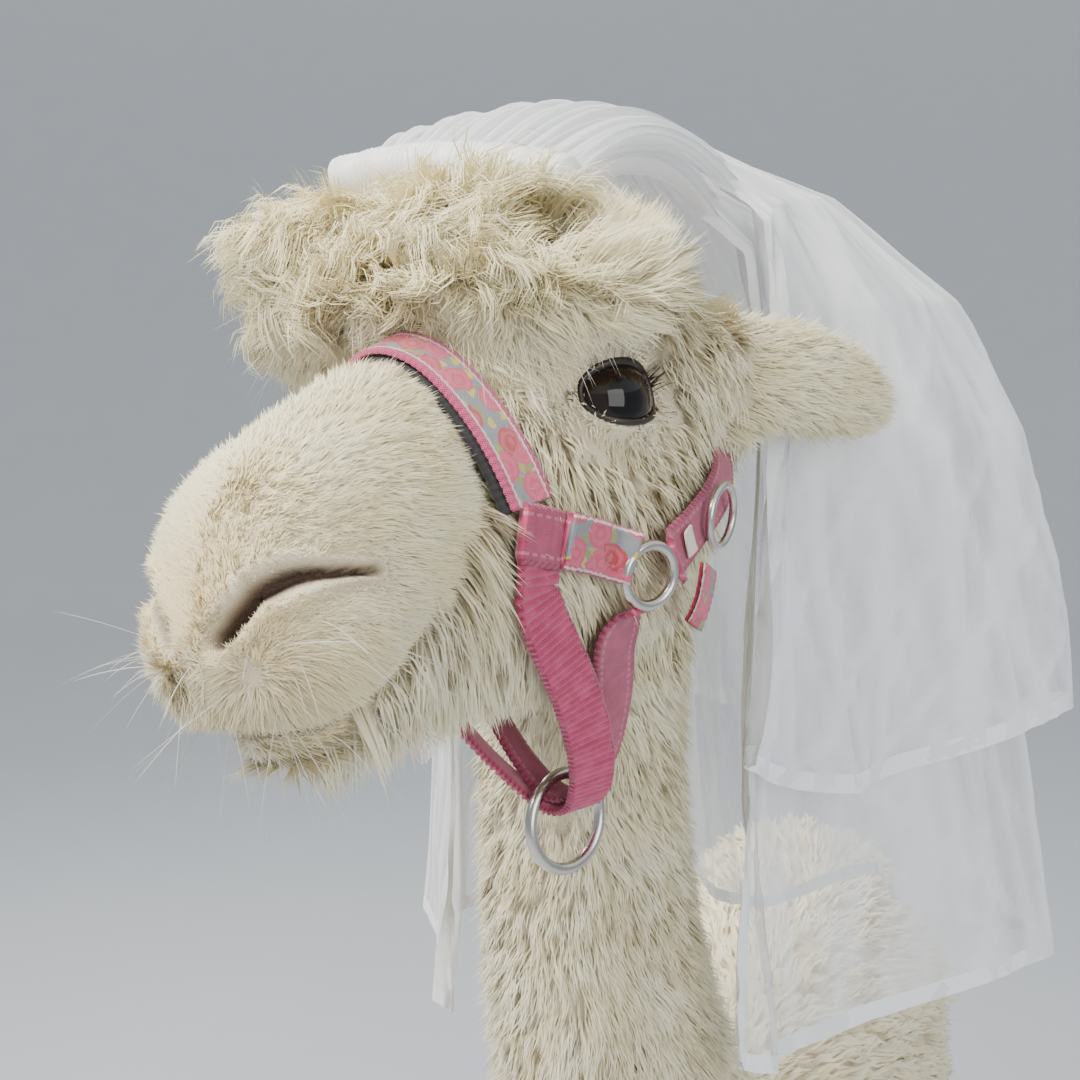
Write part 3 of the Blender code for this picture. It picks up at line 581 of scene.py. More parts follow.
def scatter(density, count, rng):
    """Random roots on the skin, with its way out there. More grow where density is higher."""
    weight = TRI_AREA * density
    total = np.cumsum(weight)
    pick = np.searchsorted(total, rng.random(count) * total[-1])
    a, b = rng.random((2, count))
    over = a + b > 1
    a[over], b[over] = 1 - a[over], 1 - b[over]
    shares = np.stack([1 - a - b, a, b], axis=1)[:, :, None]
    tri = TRIS[np.minimum(pick, len(TRIS) - 1)]
    return (SKIN_AT[tri] * shares).sum(axis=1), unit((SKIN_WAY[tri] * shares).sum(axis=1))


def bent_locks(root, out, lie, rng, length, lean, bend, curl, turns, loose, steps):
    """The middle line of each lock: it leaves the skin at the lean and waves like its neighbours."""
    s = np.linspace(0, 1, steps + 1)[None, :, None]
    side = np.cross(out, lie)
    angle = (lean + rng.normal(0, 0.13, len(root)))[:, None, None] + bend * s
    way = np.cos(angle) * out[:, None] + np.sin(angle) * lie[:, None]
    walk = np.cumsum(way, axis=1) - way[:, :1]
    line = root[:, None] + walk * (length / steps)[:, None, None]
    shared = 2.6 * np.sin(root @ np.array([61.0, 83.0, 47.0])) + root @ np.array([95, 60, 120.0])
    phase = (shared + rng.normal(0, loose, len(root)))[:, None, None]
    spin = (turns * rng.uniform(0.75, 1.25, len(root)))[:, None, None]
    swing = curl[:, None, None] * s**0.6
    lift = np.cross(side[:, None], way)
    line += swing * (side[:, None] * (np.sin(phase + 2 * math.pi * spin * s))
                     - lift * np.cos(phase + 2 * math.pi * spin * s))
    return line, side


def grow(name, look, density, locks, lie_at, length_at, lean=0.9, bend=0.3, curl=0.0, turns=1.0,
         strands=5, spread=0.0012, clump=0.6, width=0.0009, steps=3, stray=0.0006, seed=1,
         loose=1.2, round_at=None, trim=True):
    """One piece of the coat. The ..._at values are functions of the roots."""
    rng = np.random.default_rng(seed)
    root, out = scatter(density, int(locks * SHARE), rng)
    length = length_at(root) * rng.uniform(0.80, 1.15, len(root))
    lie = lie_at(root)
    lie = unit(lie - out * (lie * out).sum(axis=1, keepdims=True))
    if trim:
        top = root + out * coat_depth(root)[:, None]
        beside = soft(from_straps(top), 0.0045, 0.0010)
        beside = np.maximum(beside, 0.7 * soft(from_straps(top + lie * length[:, None] * 0.7),
                                               0.0035, 0.0005))
        length -= np.maximum(length - 1.45 * coat_depth(root), 0) * beside
        tip = top + lie * length[:, None] * 0.85
        length *= 0.30 + 0.70 * soft(lid_gap(tip), 1.0, 1.6)
        for share in (0.5, 0.9):
            over = root + lie * length[:, None] * share
            length *= 0.45 + 0.55 * soft(from_slits(over), 0.0012, 0.0055)
    keep = length > 0.0012
    root, out, length, lie = root[keep], out[keep], length[keep], lie[keep]
    curls = np.broadcast_to(np.asarray(curl(root) if callable(curl) else curl, float), len(root))
    leans = np.broadcast_to(np.asarray(lean(root) if callable(lean) else lean, float), len(root))
    line, side = bent_locks(root, out, lie, rng, length, leans, bend, curls, turns, loose, steps)
    which = np.repeat(np.arange(len(root)), strands)
    count = len(which)
    s = np.linspace(0, 1, steps + 1)[None, :, None]
    turn = rng.uniform(0, 2 * math.pi, count)[:, None]
    start = (np.sqrt(rng.random(count))[:, None] * spread
             * (np.cos(turn) * side[which] + np.sin(turn) * lie[which]))
    blade = line[which] + start[:, None] * (1 - clump * s)
    first = blade[:, :1].copy()
    blade = first + (blade - first) * rng.uniform(0.72, 1.12, count)[:, None, None]
    wander = rng.normal(0, stray, (count, 1, 3)) * s
    blade += wander - out[which][:, None] * 0.0012 * (1 - s)
    return blades(name, look, blade, out[which], width, root, which, rng, round_at)


PLUSH = 0.70  # how far a blade is shaded as the coat's surface, not as a blade


def blades(name, look, blade, facing, width, root, which, rng, round_at):
    """Flat pointed blades along the given lines, as one mesh. On its map each tuft is a patch."""
    count, steps = blade.shape[0], blade.shape[1] - 1
    s = np.linspace(0, 1, steps + 1)[None, :, None]
    along = unit(np.gradient(blade, axis=1))
    flat = unit(np.cross(along, facing[:, None]) + 1e-6)
    roll = rng.normal(0, 0.45, count)[:, None, None]
    across = np.cos(roll) * flat + np.sin(roll) * np.cross(along, flat)
    half = 0.5 * width * rng.uniform(0.75, 1.25, count)[:, None, None] * (1 - 0.75 * s**2)
    left, right = blade - across * half, blade + across * half
    rows = np.empty((count, 2 * steps + 1, 3), np.float32)
    rows[:, 0:-1:2] = left[:, :-1]
    rows[:, 1:-1:2] = right[:, :-1]
    rows[:, -1] = blade[:, -1]
    per = 2 * steps + 1
    pattern, starts = [], []
    for k in range(steps - 1):
        starts.append(len(pattern))
        pattern += [2 * k, 2 * k + 1, 2 * k + 3, 2 * k + 2]
    starts.append(len(pattern))
    pattern += [per - 3, per - 2, per - 1]
    pattern, starts = np.array(pattern), np.array(starts)
    base = np.arange(count)[:, None]
    loops = (base * per + pattern).astype(np.int32)
    mesh = bpy.data.meshes.new(name)
    mesh.vertices.add(count * per)
    mesh.vertices.foreach_set("co", rows.ravel())
    mesh.loops.add(loops.size)
    mesh.loops.foreach_set("vertex_index", loops.ravel())
    mesh.polygons.add(count * steps)
    mesh.polygons.foreach_set("loop_start", (base * len(pattern) + starts).ravel().astype(np.int32))
    mesh.update(calc_edges=True)
    tone = rng.random(root.shape[0])[which] * 0.7 + rng.random(count) * 0.3
    down = np.minimum(np.repeat(np.arange(steps + 1), 2)[:per] / steps, 1.0)
    for word, values in (("tone", np.repeat(tone, per)), ("tip", np.tile(down, count))):
        layer = mesh.attributes.new(word, "FLOAT", "POINT")
        layer.data.foreach_set("value", values.astype(np.float32))
    spun = round_at(root)
    turn = np.arctan2(spun[:, 0], spun[:, 1]) / (2 * math.pi) + 0.5
    rise = (spun[:, 2] - spun[:, 2].min()) / max(np.ptp(spun[:, 2]), 1e-6)
    patch = 0.01 + 0.98 * np.stack([turn, rise], axis=1)[which]
    corner = np.stack([(pattern % 2) - 0.5, pattern // 2 / steps - 0.5], axis=1) * 0.003
    mesh.uv_layers.new(name="OFBake").data.foreach_set(
        "uv", (patch[:, None] + corner[None]).astype(np.float32).ravel())
    mesh.materials.append(look)
    mesh.polygons.foreach_set("use_smooth", np.ones(len(mesh.polygons), bool))
    own = unit(np.cross(across, along))
    lit = unit(own * (1 - PLUSH) + facing[:, None] * PLUSH + along * 0.15)
    lit = np.repeat(lit, 2, axis=1)[:, :per].reshape(-1, 3)
    mesh.normals_split_custom_set_from_vertices(lit)
    obj = bpy.data.objects.new(name, mesh)
    bpy.context.scene.collection.objects.link(obj)
    place_piece(obj, "wool")
    print(name, count, "blades,", count * (2 * steps - 1), "triangles")
    return obj


# %% [markdown]
# Undyed fleece is never one colour. It is cream at the tips and stained tan round the mouth, and
# each lock differs a little. Painted shade darkens each blade to a duller yellow towards its root,
# for the shade deep in the coat. Those shares are mixed in one material, which the whole coat wears.

# %% The fleece's colours
def fleece(name, light, mid, deep, stain=None):
    look, coords, feed, _ = material(name, 0.62, sheen=0.25, specular=0.25)
    tone, tip = stored(coords, "tone"), stored(coords, "tip")
    clouds = coords.noise(38.0, 3.0).ease(0.36, 0.66)
    shade = (tone * 0.55 + clouds * 0.45).ease(0.12, 0.88)
    colour = shade.mix(mid, light)
    # Painted shade: each blade darkens towards its root, to the deep colour, for the shade deep inside the
    # coat.
    root = (1.0 - tip).ease(0.35, 1.0)
    colour = (root * 0.75).mix(colour, deep)
    if stain is not None:
        where, stained = stain(coords)
        colour = where.mix(colour, stained)
    feed("Base Color", colour)
    return look


def muzzle_stain(coords):
    """Tan round the nostrils, lips and chin, by the distance from the end of the nose."""
    end = head_place(0.0, 0.150, -0.085)
    gap = coords.new("ShaderNodeVectorMath", {0: coords, 1: tuple(end)}, 1, operation="DISTANCE")
    return (1.0 - gap.ease(0.025, 0.080)) * 0.30, (0.62, 0.46, 0.28)


# The third colour of each fleece is its painted shade at the root.
LIGHT, MID, ROOT_SHADE = (0.98, 0.92, 0.66), (0.93, 0.83, 0.51), (0.70, 0.55, 0.31)
FACE_FLEECE = fleece("fleece_face", LIGHT, MID, ROOT_SHADE, muzzle_stain)
CURL_FLEECE = fleece("fleece_curls", LIGHT, MID, (0.66, 0.54, 0.33))
BODY_FLEECE = fleece("fleece_body", (0.96, 0.90, 0.67), (0.88, 0.79, 0.51), (0.66, 0.55, 0.36))

# %% [markdown]
# On a live animal the coat has a direction everywhere. On the face it runs back from the nose,
# radiates from a whorl on the upper lip, hangs from the chin and falls from the brow. On the neck
# and body it hangs down and back.

# %% The way the coat lies
WHORL = {side: np.array(head_place(side * 0.0196, 0.1404, -0.0773)) for side in (1, -1)}


def face_lie(places):
    left, forward, up = in_head(places)
    side = np.sign(left)
    bridge = soft(up, -0.020, 0.012)
    wave = 0.30 * np.sin(forward * 150 + up * 90)
    way = head_way(side * (0.10 + 0.15 * bridge), -1.0 + 0.15 * bridge,
                   -0.42 + 0.62 * bridge + wave * (1 - bridge))
    for point in WHORL.values():
        arm = places - point
        near = 0.75 * np.exp(-((np.linalg.norm(arm, axis=1) / 0.020) ** 2))[:, None]
        way = way * (1 - near) + unit(arm) * near
    front = (soft(forward, 0.126, 0.142) * soft(up, -0.075, -0.062))[:, None]
    way = way * (1 - front) + head_way(side * 0.5, 0.2, 0.9) * front
    chin = (soft(up, -0.090, -0.100) * soft(forward, 0.060, 0.085))[:, None]
    way = way * (1 - chin) + head_way(side * 0.15, 0.35, -1.0) * chin
    jaw = (soft(up, -0.080, -0.100) * (1 - soft(forward, 0.060, 0.085)))[:, None]
    way = way * (1 - jaw) + head_way(side * 0.1, -0.7, -0.8) * jaw
    lip = soft(from_curve(places, MOUTH_LINE), 0.020, 0.006)[:, None]
    return way * (1 - lip) + head_way(side * 0.5, -1.0, 0.25) * lip


def cheek_lie(places):
    left, forward, up = in_head(places)
    side = np.sign(left)
    wave = 0.45 * np.sin(forward * 130 + up * 70)
    way = head_way(side * 0.12, -0.70 + wave, -0.85)
    brow = soft(up, 0.000, 0.012)[:, None]
    swept = head_way(side * 0.25, -0.95 + 0.5 * wave, -0.30 + wave)
    way = way * (1 - brow) + swept * brow
    strap = (soft(up, 0.000, 0.014) * soft(forward, 0.012, 0.030))[:, None]
    way = way * (1 - strap) + head_way(side * 0.45, 0.35 + wave, -0.85) * strap
    eye = np.where((side > 0)[:, None], EYES[1], EYES[-1])
    near = 0.85 * soft(from_eye(places), 0.042, 0.024)[:, None]
    return way * (1 - near) + (unit(places - eye) + head_way(0.0, -0.9, 0.1)) * near


def crown_lie(places):
    left, forward, up = in_head(places)
    way = head_way(left * 16 - 0.15, forward * 6 + 0.20, -0.50)
    swirl = head_way(np.sin(forward * 170 + left * 110), np.cos(left * 150 - up * 90),
                     0.6 * np.sin(up * 140 + forward * 120))
    return way + 0.95 * swirl


def body_lie(places):
    back = soft(places[:, 2], 1.00, 0.80)
    leg = soft(places[:, 2], 0.50, 0.42)
    wave = 0.18 * np.sin(places[:, 2] * 85 + places[:, 0] * 70)
    return np.stack([wave, 0.05 + 0.75 * back * (1 - leg) + wave,
                     -1.0 + 0.35 * back * (1 - leg)], axis=1)


def ear_lie(places):
    return head_way(np.sign(in_head(places)[0]) * 0.25, -1.0, -0.30)


# %% [markdown]
# Straps press the coat flat, so locks at the webbing are no longer than a little over the coat's
# depth. Locks are cut short beside the eyes too, and no hair grows inside their openings or where
# painted shade darkens the nostrils and the mouth.

# %% Where each kind of coat grows
STRAPS = ["halter_square_left", "halter_square_right", "halter_cheek_strap_left",
          "halter_cheek_strap_right", "halter_noseband", "halter_pad", "halter_crown_strap",
          "halter_chin_strap", "halter_throat_strap", "halter_strap_end", "halter_label"]


def tree_of(names):
    points, faces = [], []
    for name in names:
        mesh = NODES[name].data
        start = len(points)
        points += [v.co.copy() for v in mesh.vertices]
        faces += [[start + v for v in p.vertices] for p in mesh.polygons]
    return BVHTree.FromPolygons(points, faces)


STRAP_TREE = tree_of(STRAPS)


def from_straps(places, within=0.012):
    found = np.full(len(places), within)
    for i, place in enumerate(places):
        hit = STRAP_TREE.find_nearest(place, within)
        if hit[3] is not None:
            found[i] = hit[3]
    return found


LEFT, FORWARD, UP = in_head(TRI_MID)
ON_HEAD = soft(headward(TRI_MID), -0.006, 0.006)
IN_EAR = soft(from_ear(TRI_MID), 0.0275, 0.0255) * (FORWARD < -0.070)
ON_CROWN = crown(TRI_MID)
ON_FACE = soft(FORWARD, 0.018, 0.056)


def lid_gap(places):
    """0 inside the eyes' openings, 1 on the rim, and more outside."""
    found = np.full(len(places), 9.0)
    for side in (1, -1):
        out, along, upward = eye_axes(side)
        arm = places - EYES[side]
        ratio = np.hypot((arm @ along - OPEN_BACK) / OPEN_ALONG,
                         (arm @ upward - OPEN_RAISED) / OPEN_ACROSS)
        near = (np.linalg.norm(arm, axis=1) < 0.034) & (arm @ out > 0)
        found = np.where(near, np.minimum(found, ratio), found)
    return found


OUTSIDE_LIDS = (lid_gap(TRI_MID) > 1.12) * (TRI_PAINTED_SHADE < 0.42)
HEAD_COAT = ON_HEAD * (1 - IN_EAR) * OUTSIDE_LIDS
print("head coat area", round(float((TRI_AREA * HEAD_COAT).sum()), 4), "square metres")


def head_round(places):
    left, forward, up = in_head(places)
    return np.stack([left, up + 0.03, forward], axis=1)


def trimmed(places, length):
    """Shorter beside the eyelids."""
    return length * (0.16 + 0.84 * soft(lid_gap(places), 1.1, 2.8))


def face_length(places):
    _, forward, up = in_head(places)
    length = 0.0075 - 0.0030 * soft(forward, 0.085, 0.125) + 0.0040 * soft(forward, 0.060, 0.038)
    lip = soft(forward, 0.085, 0.11) * soft(up, -0.062, -0.078)
    length += (0.0085 - length) * lip
    chin = soft(up, -0.088, -0.102) * soft(forward, 0.050, 0.080)
    length += (0.0185 - length) * chin
    jaw = soft(up, -0.070, -0.100) * (1 - soft(forward, 0.050, 0.080))
    length += 0.006 * jaw
    slit = np.minimum(*(from_curve(places, line) for line in NOSTRILS))
    length *= 0.30 + 0.70 * soft(slit, 0.0040, 0.0100)
    lips = from_curve(places, MOUTH_LINE)
    length *= 0.26 + 0.74 * soft(lips, 0.0035, 0.0190)
    return trimmed(places, length)


face_parts = HEAD_COAT * ON_FACE * (1 - ON_CROWN)
for seed, (word, share) in enumerate((("upper", soft(UP, -0.062, -0.052)),
                                      ("lower", soft(UP, -0.052, -0.062)))):
    grow(f"face_fleece_{word}", FACE_FLEECE, face_parts * share, 8800 - 900 * seed, face_lie,
         face_length, lean=1.06, bend=0.22, curl=0.0006, turns=0.7, strands=7, spread=0.0015,
         clump=0.40, width=0.00052, steps=2, stray=0.0007, seed=11 + seed, round_at=head_round)


# %% [markdown]
# Round the eyes, cheeks and throat the wool is longer and wavy, and it hangs in soft locks.

# %% Cheeks, brow and throat
def cheek_length(places):
    _, forward, up = in_head(places)
    length = 0.0135 + 0.006 * soft(forward, -0.02, -0.06) + 0.007 * soft(up, -0.06, -0.10)
    length -= 0.0080 * soft(forward, 0.010, 0.050)
    length += 0.008 * soft(up, 0.005, 0.020)
    length *= 0.40 + 0.60 * soft(from_eye(places), 0.018, 0.036)
    return trimmed(places, length)


cheek_parts = HEAD_COAT * (1 - ON_FACE) * (1 - ON_CROWN)
for seed, (word, share) in enumerate((("left", soft(LEFT, -0.002, 0.002)),
                                      ("right", soft(LEFT, 0.002, -0.002)))):
    grow(f"cheek_fleece_{word}", FACE_FLEECE, cheek_parts * share, 3400 - 1500 * seed, cheek_lie,
         cheek_length, lean=0.82, bend=0.40, curl=0.0022, turns=0.9, strands=9, spread=0.0024,
         clump=0.50, width=0.00060, steps=3, stray=0.0011, loose=0.7, seed=21 + seed,
         round_at=head_round)


# %% [markdown]
# The topknot is the longest wool on the head. Its locks wind into ringlets that tumble forward
# over the nose and towards the animal's right, so each lock is a bundle of blades round one
# winding line.

# %% The topknot
def crown_length(places):
    left, forward, _ = in_head(places)
    length = 0.036 - 0.010 * soft(forward, 0.00, 0.05) - 0.006 * soft(left, 0.00, -0.05)
    return length * (0.70 + 0.30 * soft(crown(places), 0.3, 1.0))


for seed in range(2):
    grow(f"topknot_{seed + 1}", CURL_FLEECE, HEAD_COAT * ON_CROWN, 420, crown_lie, crown_length,
         lean=0.50, bend=1.05, curl=lambda at: 0.0046 + 0.0022 * np.sin(at[:, 0] * 400) ** 2,
         turns=1.05, strands=23, spread=0.0040, clump=0.60, width=0.00062, steps=7,
         stray=0.0016, loose=2.4, seed=31 + seed, round_at=head_round)
grow("topknot_under", CURL_FLEECE, HEAD_COAT * ON_CROWN, 2600, crown_lie,
     lambda at: crown_length(at) * 0.50, lean=0.85, bend=0.6, curl=0.0030, turns=0.9, strands=5,
     spread=0.0030, clump=0.5, width=0.00085, steps=3, stray=0.0014, seed=35,
     round_at=head_round)

# %% [markdown]
# The neck was shorn some months ago, so it is plush: short dense wool that stands well off the
# skin, a little longer behind the jaw. The body, legs and tail are covered the same way with coarser
# locks, because nobody looks at them from so near.

# %% Neck, body, legs, tail and ears
def neck_round(places):
    return np.stack([places[:, 0] - HEAD_AT.x, places[:, 1] + 0.31, places[:, 2]], axis=1)


def neck_length(places):
    jaw = soft(headward(places), -0.075, -0.010)
    return trimmed(places, 0.0135 + 0.0080 * jaw)


HEIGHT = TRI_MID[:, 2]
BODY = (1 - ON_HEAD) * (1 - IN_EAR)
neck_parts = BODY * soft(HEIGHT, 0.900, 0.930)
upper_neck = 0.25 + 0.75 * soft(HEIGHT, 0.98, 1.02)
LEFT_HALF = soft(TRI_MID[:, 0] - HEAD_AT.x, -0.003, 0.003)
for seed, (word, share) in enumerate((("left", LEFT_HALF),
                                      ("right", 1 - LEFT_HALF))):
    grow(f"neck_fleece_{word}", BODY_FLEECE, neck_parts * share * upper_neck, 6600 - 2500 * seed,
         body_lie, neck_length, lean=0.62, bend=0.45, curl=0.0012, turns=0.6, strands=9,
         spread=0.0030, clump=0.35, width=0.00085, steps=2, stray=0.0012, seed=41 + seed,
         round_at=neck_round)


def trunk_round(places):
    return np.stack([places[:, 0] - HEAD_AT.x, places[:, 2] - 0.68, places[:, 1]], axis=1)


def leg_length(places):
    """Shortest at the foot, longer up the shin and longest at the top of the leg."""
    height = places[:, 2]
    return 0.0035 + 0.0095 * soft(height, 0.05, 0.12) + 0.008 * soft(height, 0.32, 0.46)


ON_TRUNK = BODY * soft(HEIGHT, 0.930, 0.900) * soft(HEIGHT, 0.440, 0.470)
ON_LEGS = soft(HEIGHT, 0.470, 0.440) * (HEIGHT > 0.004)
grow("body_fleece", BODY_FLEECE, ON_TRUNK, 9000, body_lie,
     lambda at: 0.024 + 0.006 * soft(at[:, 2], 0.75, 0.50), lean=0.75, bend=0.35, curl=0.0028,
     turns=0.8, strands=3, spread=0.0035, clump=0.6, width=0.0034, steps=3, stray=0.0018,
     seed=51, round_at=trunk_round, trim=False)
for seed, word, side, front in ((0, "front_left", 1, True), (1, "front_right", -1, True),
                                (2, "hind_left", 1, False), (3, "hind_right", -1, False)):
    here = ((TRI_MID[:, 0] - HEAD_AT.x - 0.018) * side > 0) & ((TRI_MID[:, 1] < 0.1) == front)
    middle_at = np.array([HEAD_AT.x + 0.018 + side * 0.095, -0.13 if front else 0.40])
    grow(f"leg_fleece_{word}", BODY_FLEECE, ON_LEGS * here, 2000, body_lie,
         leg_length, lean=0.85, bend=0.3, curl=0.0010, turns=0.7, strands=3, spread=0.0024,
         clump=0.6, trim=False, width=0.0026, steps=3, stray=0.0010, seed=61 + seed,
         round_at=lambda at, m=middle_at: np.stack([at[:, 0] - m[0], at[:, 1] - m[1], at[:, 2]], 1))
on_tail = soft(TRI_MID[:, 1], 0.512, 0.524) * soft(HEIGHT, 0.6, 0.61)
grow("tail_fleece", BODY_FLEECE, on_tail, 1200, body_lie, lambda at: np.full(len(at), 0.034),
     lean=0.9, bend=0.3, curl=0.003, turns=1.0, strands=4, spread=0.004, clump=0.6, width=0.0030,
     steps=3, stray=0.003, seed=71, trim=False, round_at=lambda at: np.stack(
         [at[:, 0] - HEAD_AT.x - 0.018, at[:, 1] - 0.54, at[:, 2]], 1))
for seed, (word, side) in enumerate((("left", 1), ("right", -1))):
    here = IN_EAR * (LEFT * side > 0)
    grow(f"ear_fleece_{word}", FACE_FLEECE, here, 1700, ear_lie,
         lambda at: np.full(len(at), 0.0125), lean=0.98, bend=0.3, curl=0.0012, turns=0.6,
         strands=6, spread=0.0020, clump=0.45, width=0.00065, steps=3, stray=0.0010,
         seed=81 + seed, round_at=head_round)

# %% [markdown]
# ## Eyes, lashes and whiskers
# An alpaca's eye is so dark that it shows mostly by its shine. A ball with a clear coat, a brown
# iris and a paler rim reads as wet and alive. Dark lids ring it, and long pale lashes hang over it.

# %% Eyeballs and lids
eye_look, coords, feed, _ = material("eye", 0.06, coat=0.25, specular=0.30)
shade = None
for side in (1, -1):
    out, along, upward = eye_axes(side)
    gaze = tuple(EYES[side] + out * EYE_RADIUS)
    gap = coords.new("ShaderNodeVectorMath", {0: coords, 1: gaze}, 1, operation="DISTANCE")
    shade = gap if shade is None else shade.math("MINIMUM", gap)
PUPIL, IRIS = (0.0065, 0.0080), (0.0150, 0.0180)  # where each begins and ends to fade
iris = shade.ease(*PUPIL).mix((0.002, 0.002, 0.002), (0.020, 0.012, 0.008))
feed("Base Color", shade.ease(*IRIS).mix(iris, (0.12, 0.12, 0.14)))
lid_look, coords, feed, _ = material("lid", 0.35)
feed("Base Color", coords.noise(300.0).mix((0.016, 0.011, 0.009), (0.040, 0.027, 0.021)))
for side, word in ((1, "left"), (-1, "right")):
    bpy.ops.mesh.primitive_uv_sphere_add(segments=64, ring_count=40, radius=EYE_RADIUS,
                                         location=EYES[side])
    bpy.ops.object.transform_apply(location=True, rotation=False, scale=False)
    bpy.ops.object.shade_smooth()
    ball = bpy.context.object
    ball.name = f"eyeball_{word}"
    ball.data.materials.append(eye_look)
    place_piece(ball, "eye", f"eye_{word}")
    rim = EYES[side] + lid_edge(side, 72) * (EYE_RADIUS + 0.0007)
    rim = np.vstack([rim, rim[:2]])
    upper = np.maximum(np.sin(np.arange(len(rim)) * math.pi / 36), 0)  # the upper lid is fuller
    rows = tube_rows(rim, 0.0012 + 0.0006 * upper)
    place_piece(surface_of(f"lid_{word}", rows, lid_look, closed=True), "eye")
print("eyes at", [tuple(np.round(EYES[side], 3)) for side in EYES])

# %% [markdown]
# Lashes and whiskers are single stiff hairs, much longer than the coat round them. Each is a line
# that droops as it grows out.

# %% Lashes and whiskers
def drooping(start, way, length, droop, steps=6):
    """Lines that leave along a way and sag towards the ground."""
    s = np.linspace(0, 1, steps + 1)[None, :, None]
    sag = np.array([0, 0, -1.0]) * (droop[:, None, None] * s**2)
    return start[:, None] + way[:, None] * length[:, None, None] * s + sag


def single_hairs(name, look, lines, facing, width, seed):
    count = len(lines)
    return blades(name, look, lines, facing, width, lines[:, 0], np.arange(count),
                  np.random.default_rng(seed), head_round)


lash_look = fleece("lash_pale", (0.93, 0.90, 0.82), (0.85, 0.80, 0.68), (0.70, 0.62, 0.48))
dark_lash_look = fleece("lash_dark", (0.05, 0.04, 0.03), (0.04, 0.03, 0.02), (0.03, 0.02, 0.02))
for side, word in ((1, "left"), (-1, "right")):
    rng = np.random.default_rng(90 + side)
    out, along, upward = eye_axes(side)
    rim = lid_edge(side, 400)
    fore, rear = rim[rng.integers(25, 165, 34)], rim[rng.integers(5, 45, 26)]
    for kind, look, ways, length, drop in (("pale", lash_look, fore, 0.020, 0.010),
                                           ("dark", dark_lash_look, rear, 0.009, 0.002)):
        start = EYES[side] + ways * (EYE_RADIUS + 0.0012)
        lean = unit(ways * 0.8 + out * 0.5 + upward * 0.35 - along * 0.25
                    + rng.normal(0, 0.13, ways.shape))
        sizes = length * rng.uniform(0.6, 1.25, len(ways))
        lines = drooping(start, lean, sizes, drop * rng.uniform(0.5, 1.3, len(ways)))
        single_hairs(f"lashes_{kind}_{word}", look, lines, ways, 0.00035, 91 + side)
WHISKERS, STRAYS, HAIR_WIDTH = 90, 420, 0.00026
rng = np.random.default_rng(95)
root, out = scatter(HEAD_COAT * (FORWARD > 0.085) * (UP < -0.062), WHISKERS, rng)
lines = drooping(root, unit(out + 0.5 * unit(face_lie(root)) + rng.normal(0, 0.2, out.shape)),
                 rng.uniform(0.012, 0.034, WHISKERS), rng.uniform(0.002, 0.016, WHISKERS))
single_hairs("whiskers", lash_look, lines, out, HAIR_WIDTH, 96)
root, out = scatter(HEAD_COAT * (1 - ON_FACE) * (FORWARD < 0.04), STRAYS, rng)
lines = drooping(root, unit(out + 0.9 * unit(cheek_lie(root)) + rng.normal(0, 0.3, out.shape)),
                 rng.uniform(0.018, 0.034, STRAYS), rng.uniform(0.0, 0.008, STRAYS))
single_hairs("stray_hairs", lash_look, lines, out, HAIR_WIDTH, 97)

# %% [markdown]
# ## The halter
# A webbing halter is woven tape, folded and stitched round metal rings. The tape keeps its width
# and thickness all along, so each piece is swept along the middle of its solid. The middle is found
# by looking at the solid from outside, at stations along the route that the strap takes.

# %% Finding each strap's middle line
NOSEBAND = ((0.043, 0.0435, -0.0330), (0.040, 0.0455, -0.0220), (0.034, 0.0480, -0.0090),
            (0.020, 0.0530, 0.0150), (0.000, 0.0560, 0.0270))
SQUARE = ((0.044, 0.0500, -0.0450), (0.044, 0.0320, -0.0485))
CHEEK_STRAP = ((0.0455, 0.0310, -0.0487), (0.0480, 0.0205, -0.0507), (0.0490, 0.0115, -0.0532))
CROWN_STRAP = ((0.0615, -0.0185, -0.0550), (0.0610, -0.0350, -0.0480), (0.0580, -0.0660, -0.0310),
               (0.046, -0.0900, -0.0060), (0.042, -0.1120, 0.0300), (0.026, -0.1200, 0.0580),
               (0.000, -0.1200, 0.0700))
STRAP_END = ((0.0650, -0.0360, -0.0625), (0.0655, -0.0330, -0.0730), (0.0650, -0.0300, -0.0860))
LABEL = ((0.0615, -0.0215, -0.0537), (0.0615, -0.0275, -0.0512))
CHIN_STRAP = ((0.0445, 0.0415, -0.0612), (0.0440, 0.0380, -0.0710), (0.0410, 0.0265, -0.0860),
              (0.0350, 0.0080, -0.1060), (0.0260, -0.0110, -0.1290), (0.0130, -0.0260, -0.1505),
              (0.0000, -0.0290, -0.1552))
THROAT_STRAP = ((0.0490, -0.0010, -0.0775), (0.0430, -0.0060, -0.0910),
                (0.0330, -0.0215, -0.1130), (0.0220, -0.0275, -0.1310),
                (0.0110, -0.0300, -0.1462), (0.0000, -0.0300, -0.1510))
WEB, WEB_THICK = 0.019, 0.0026


def across_both(route):
    return [*route, *[(-left, *rest) for left, *rest in route[-2::-1]]]


def flipped(route):
    return [(-left, *rest) for left, *rest in route]


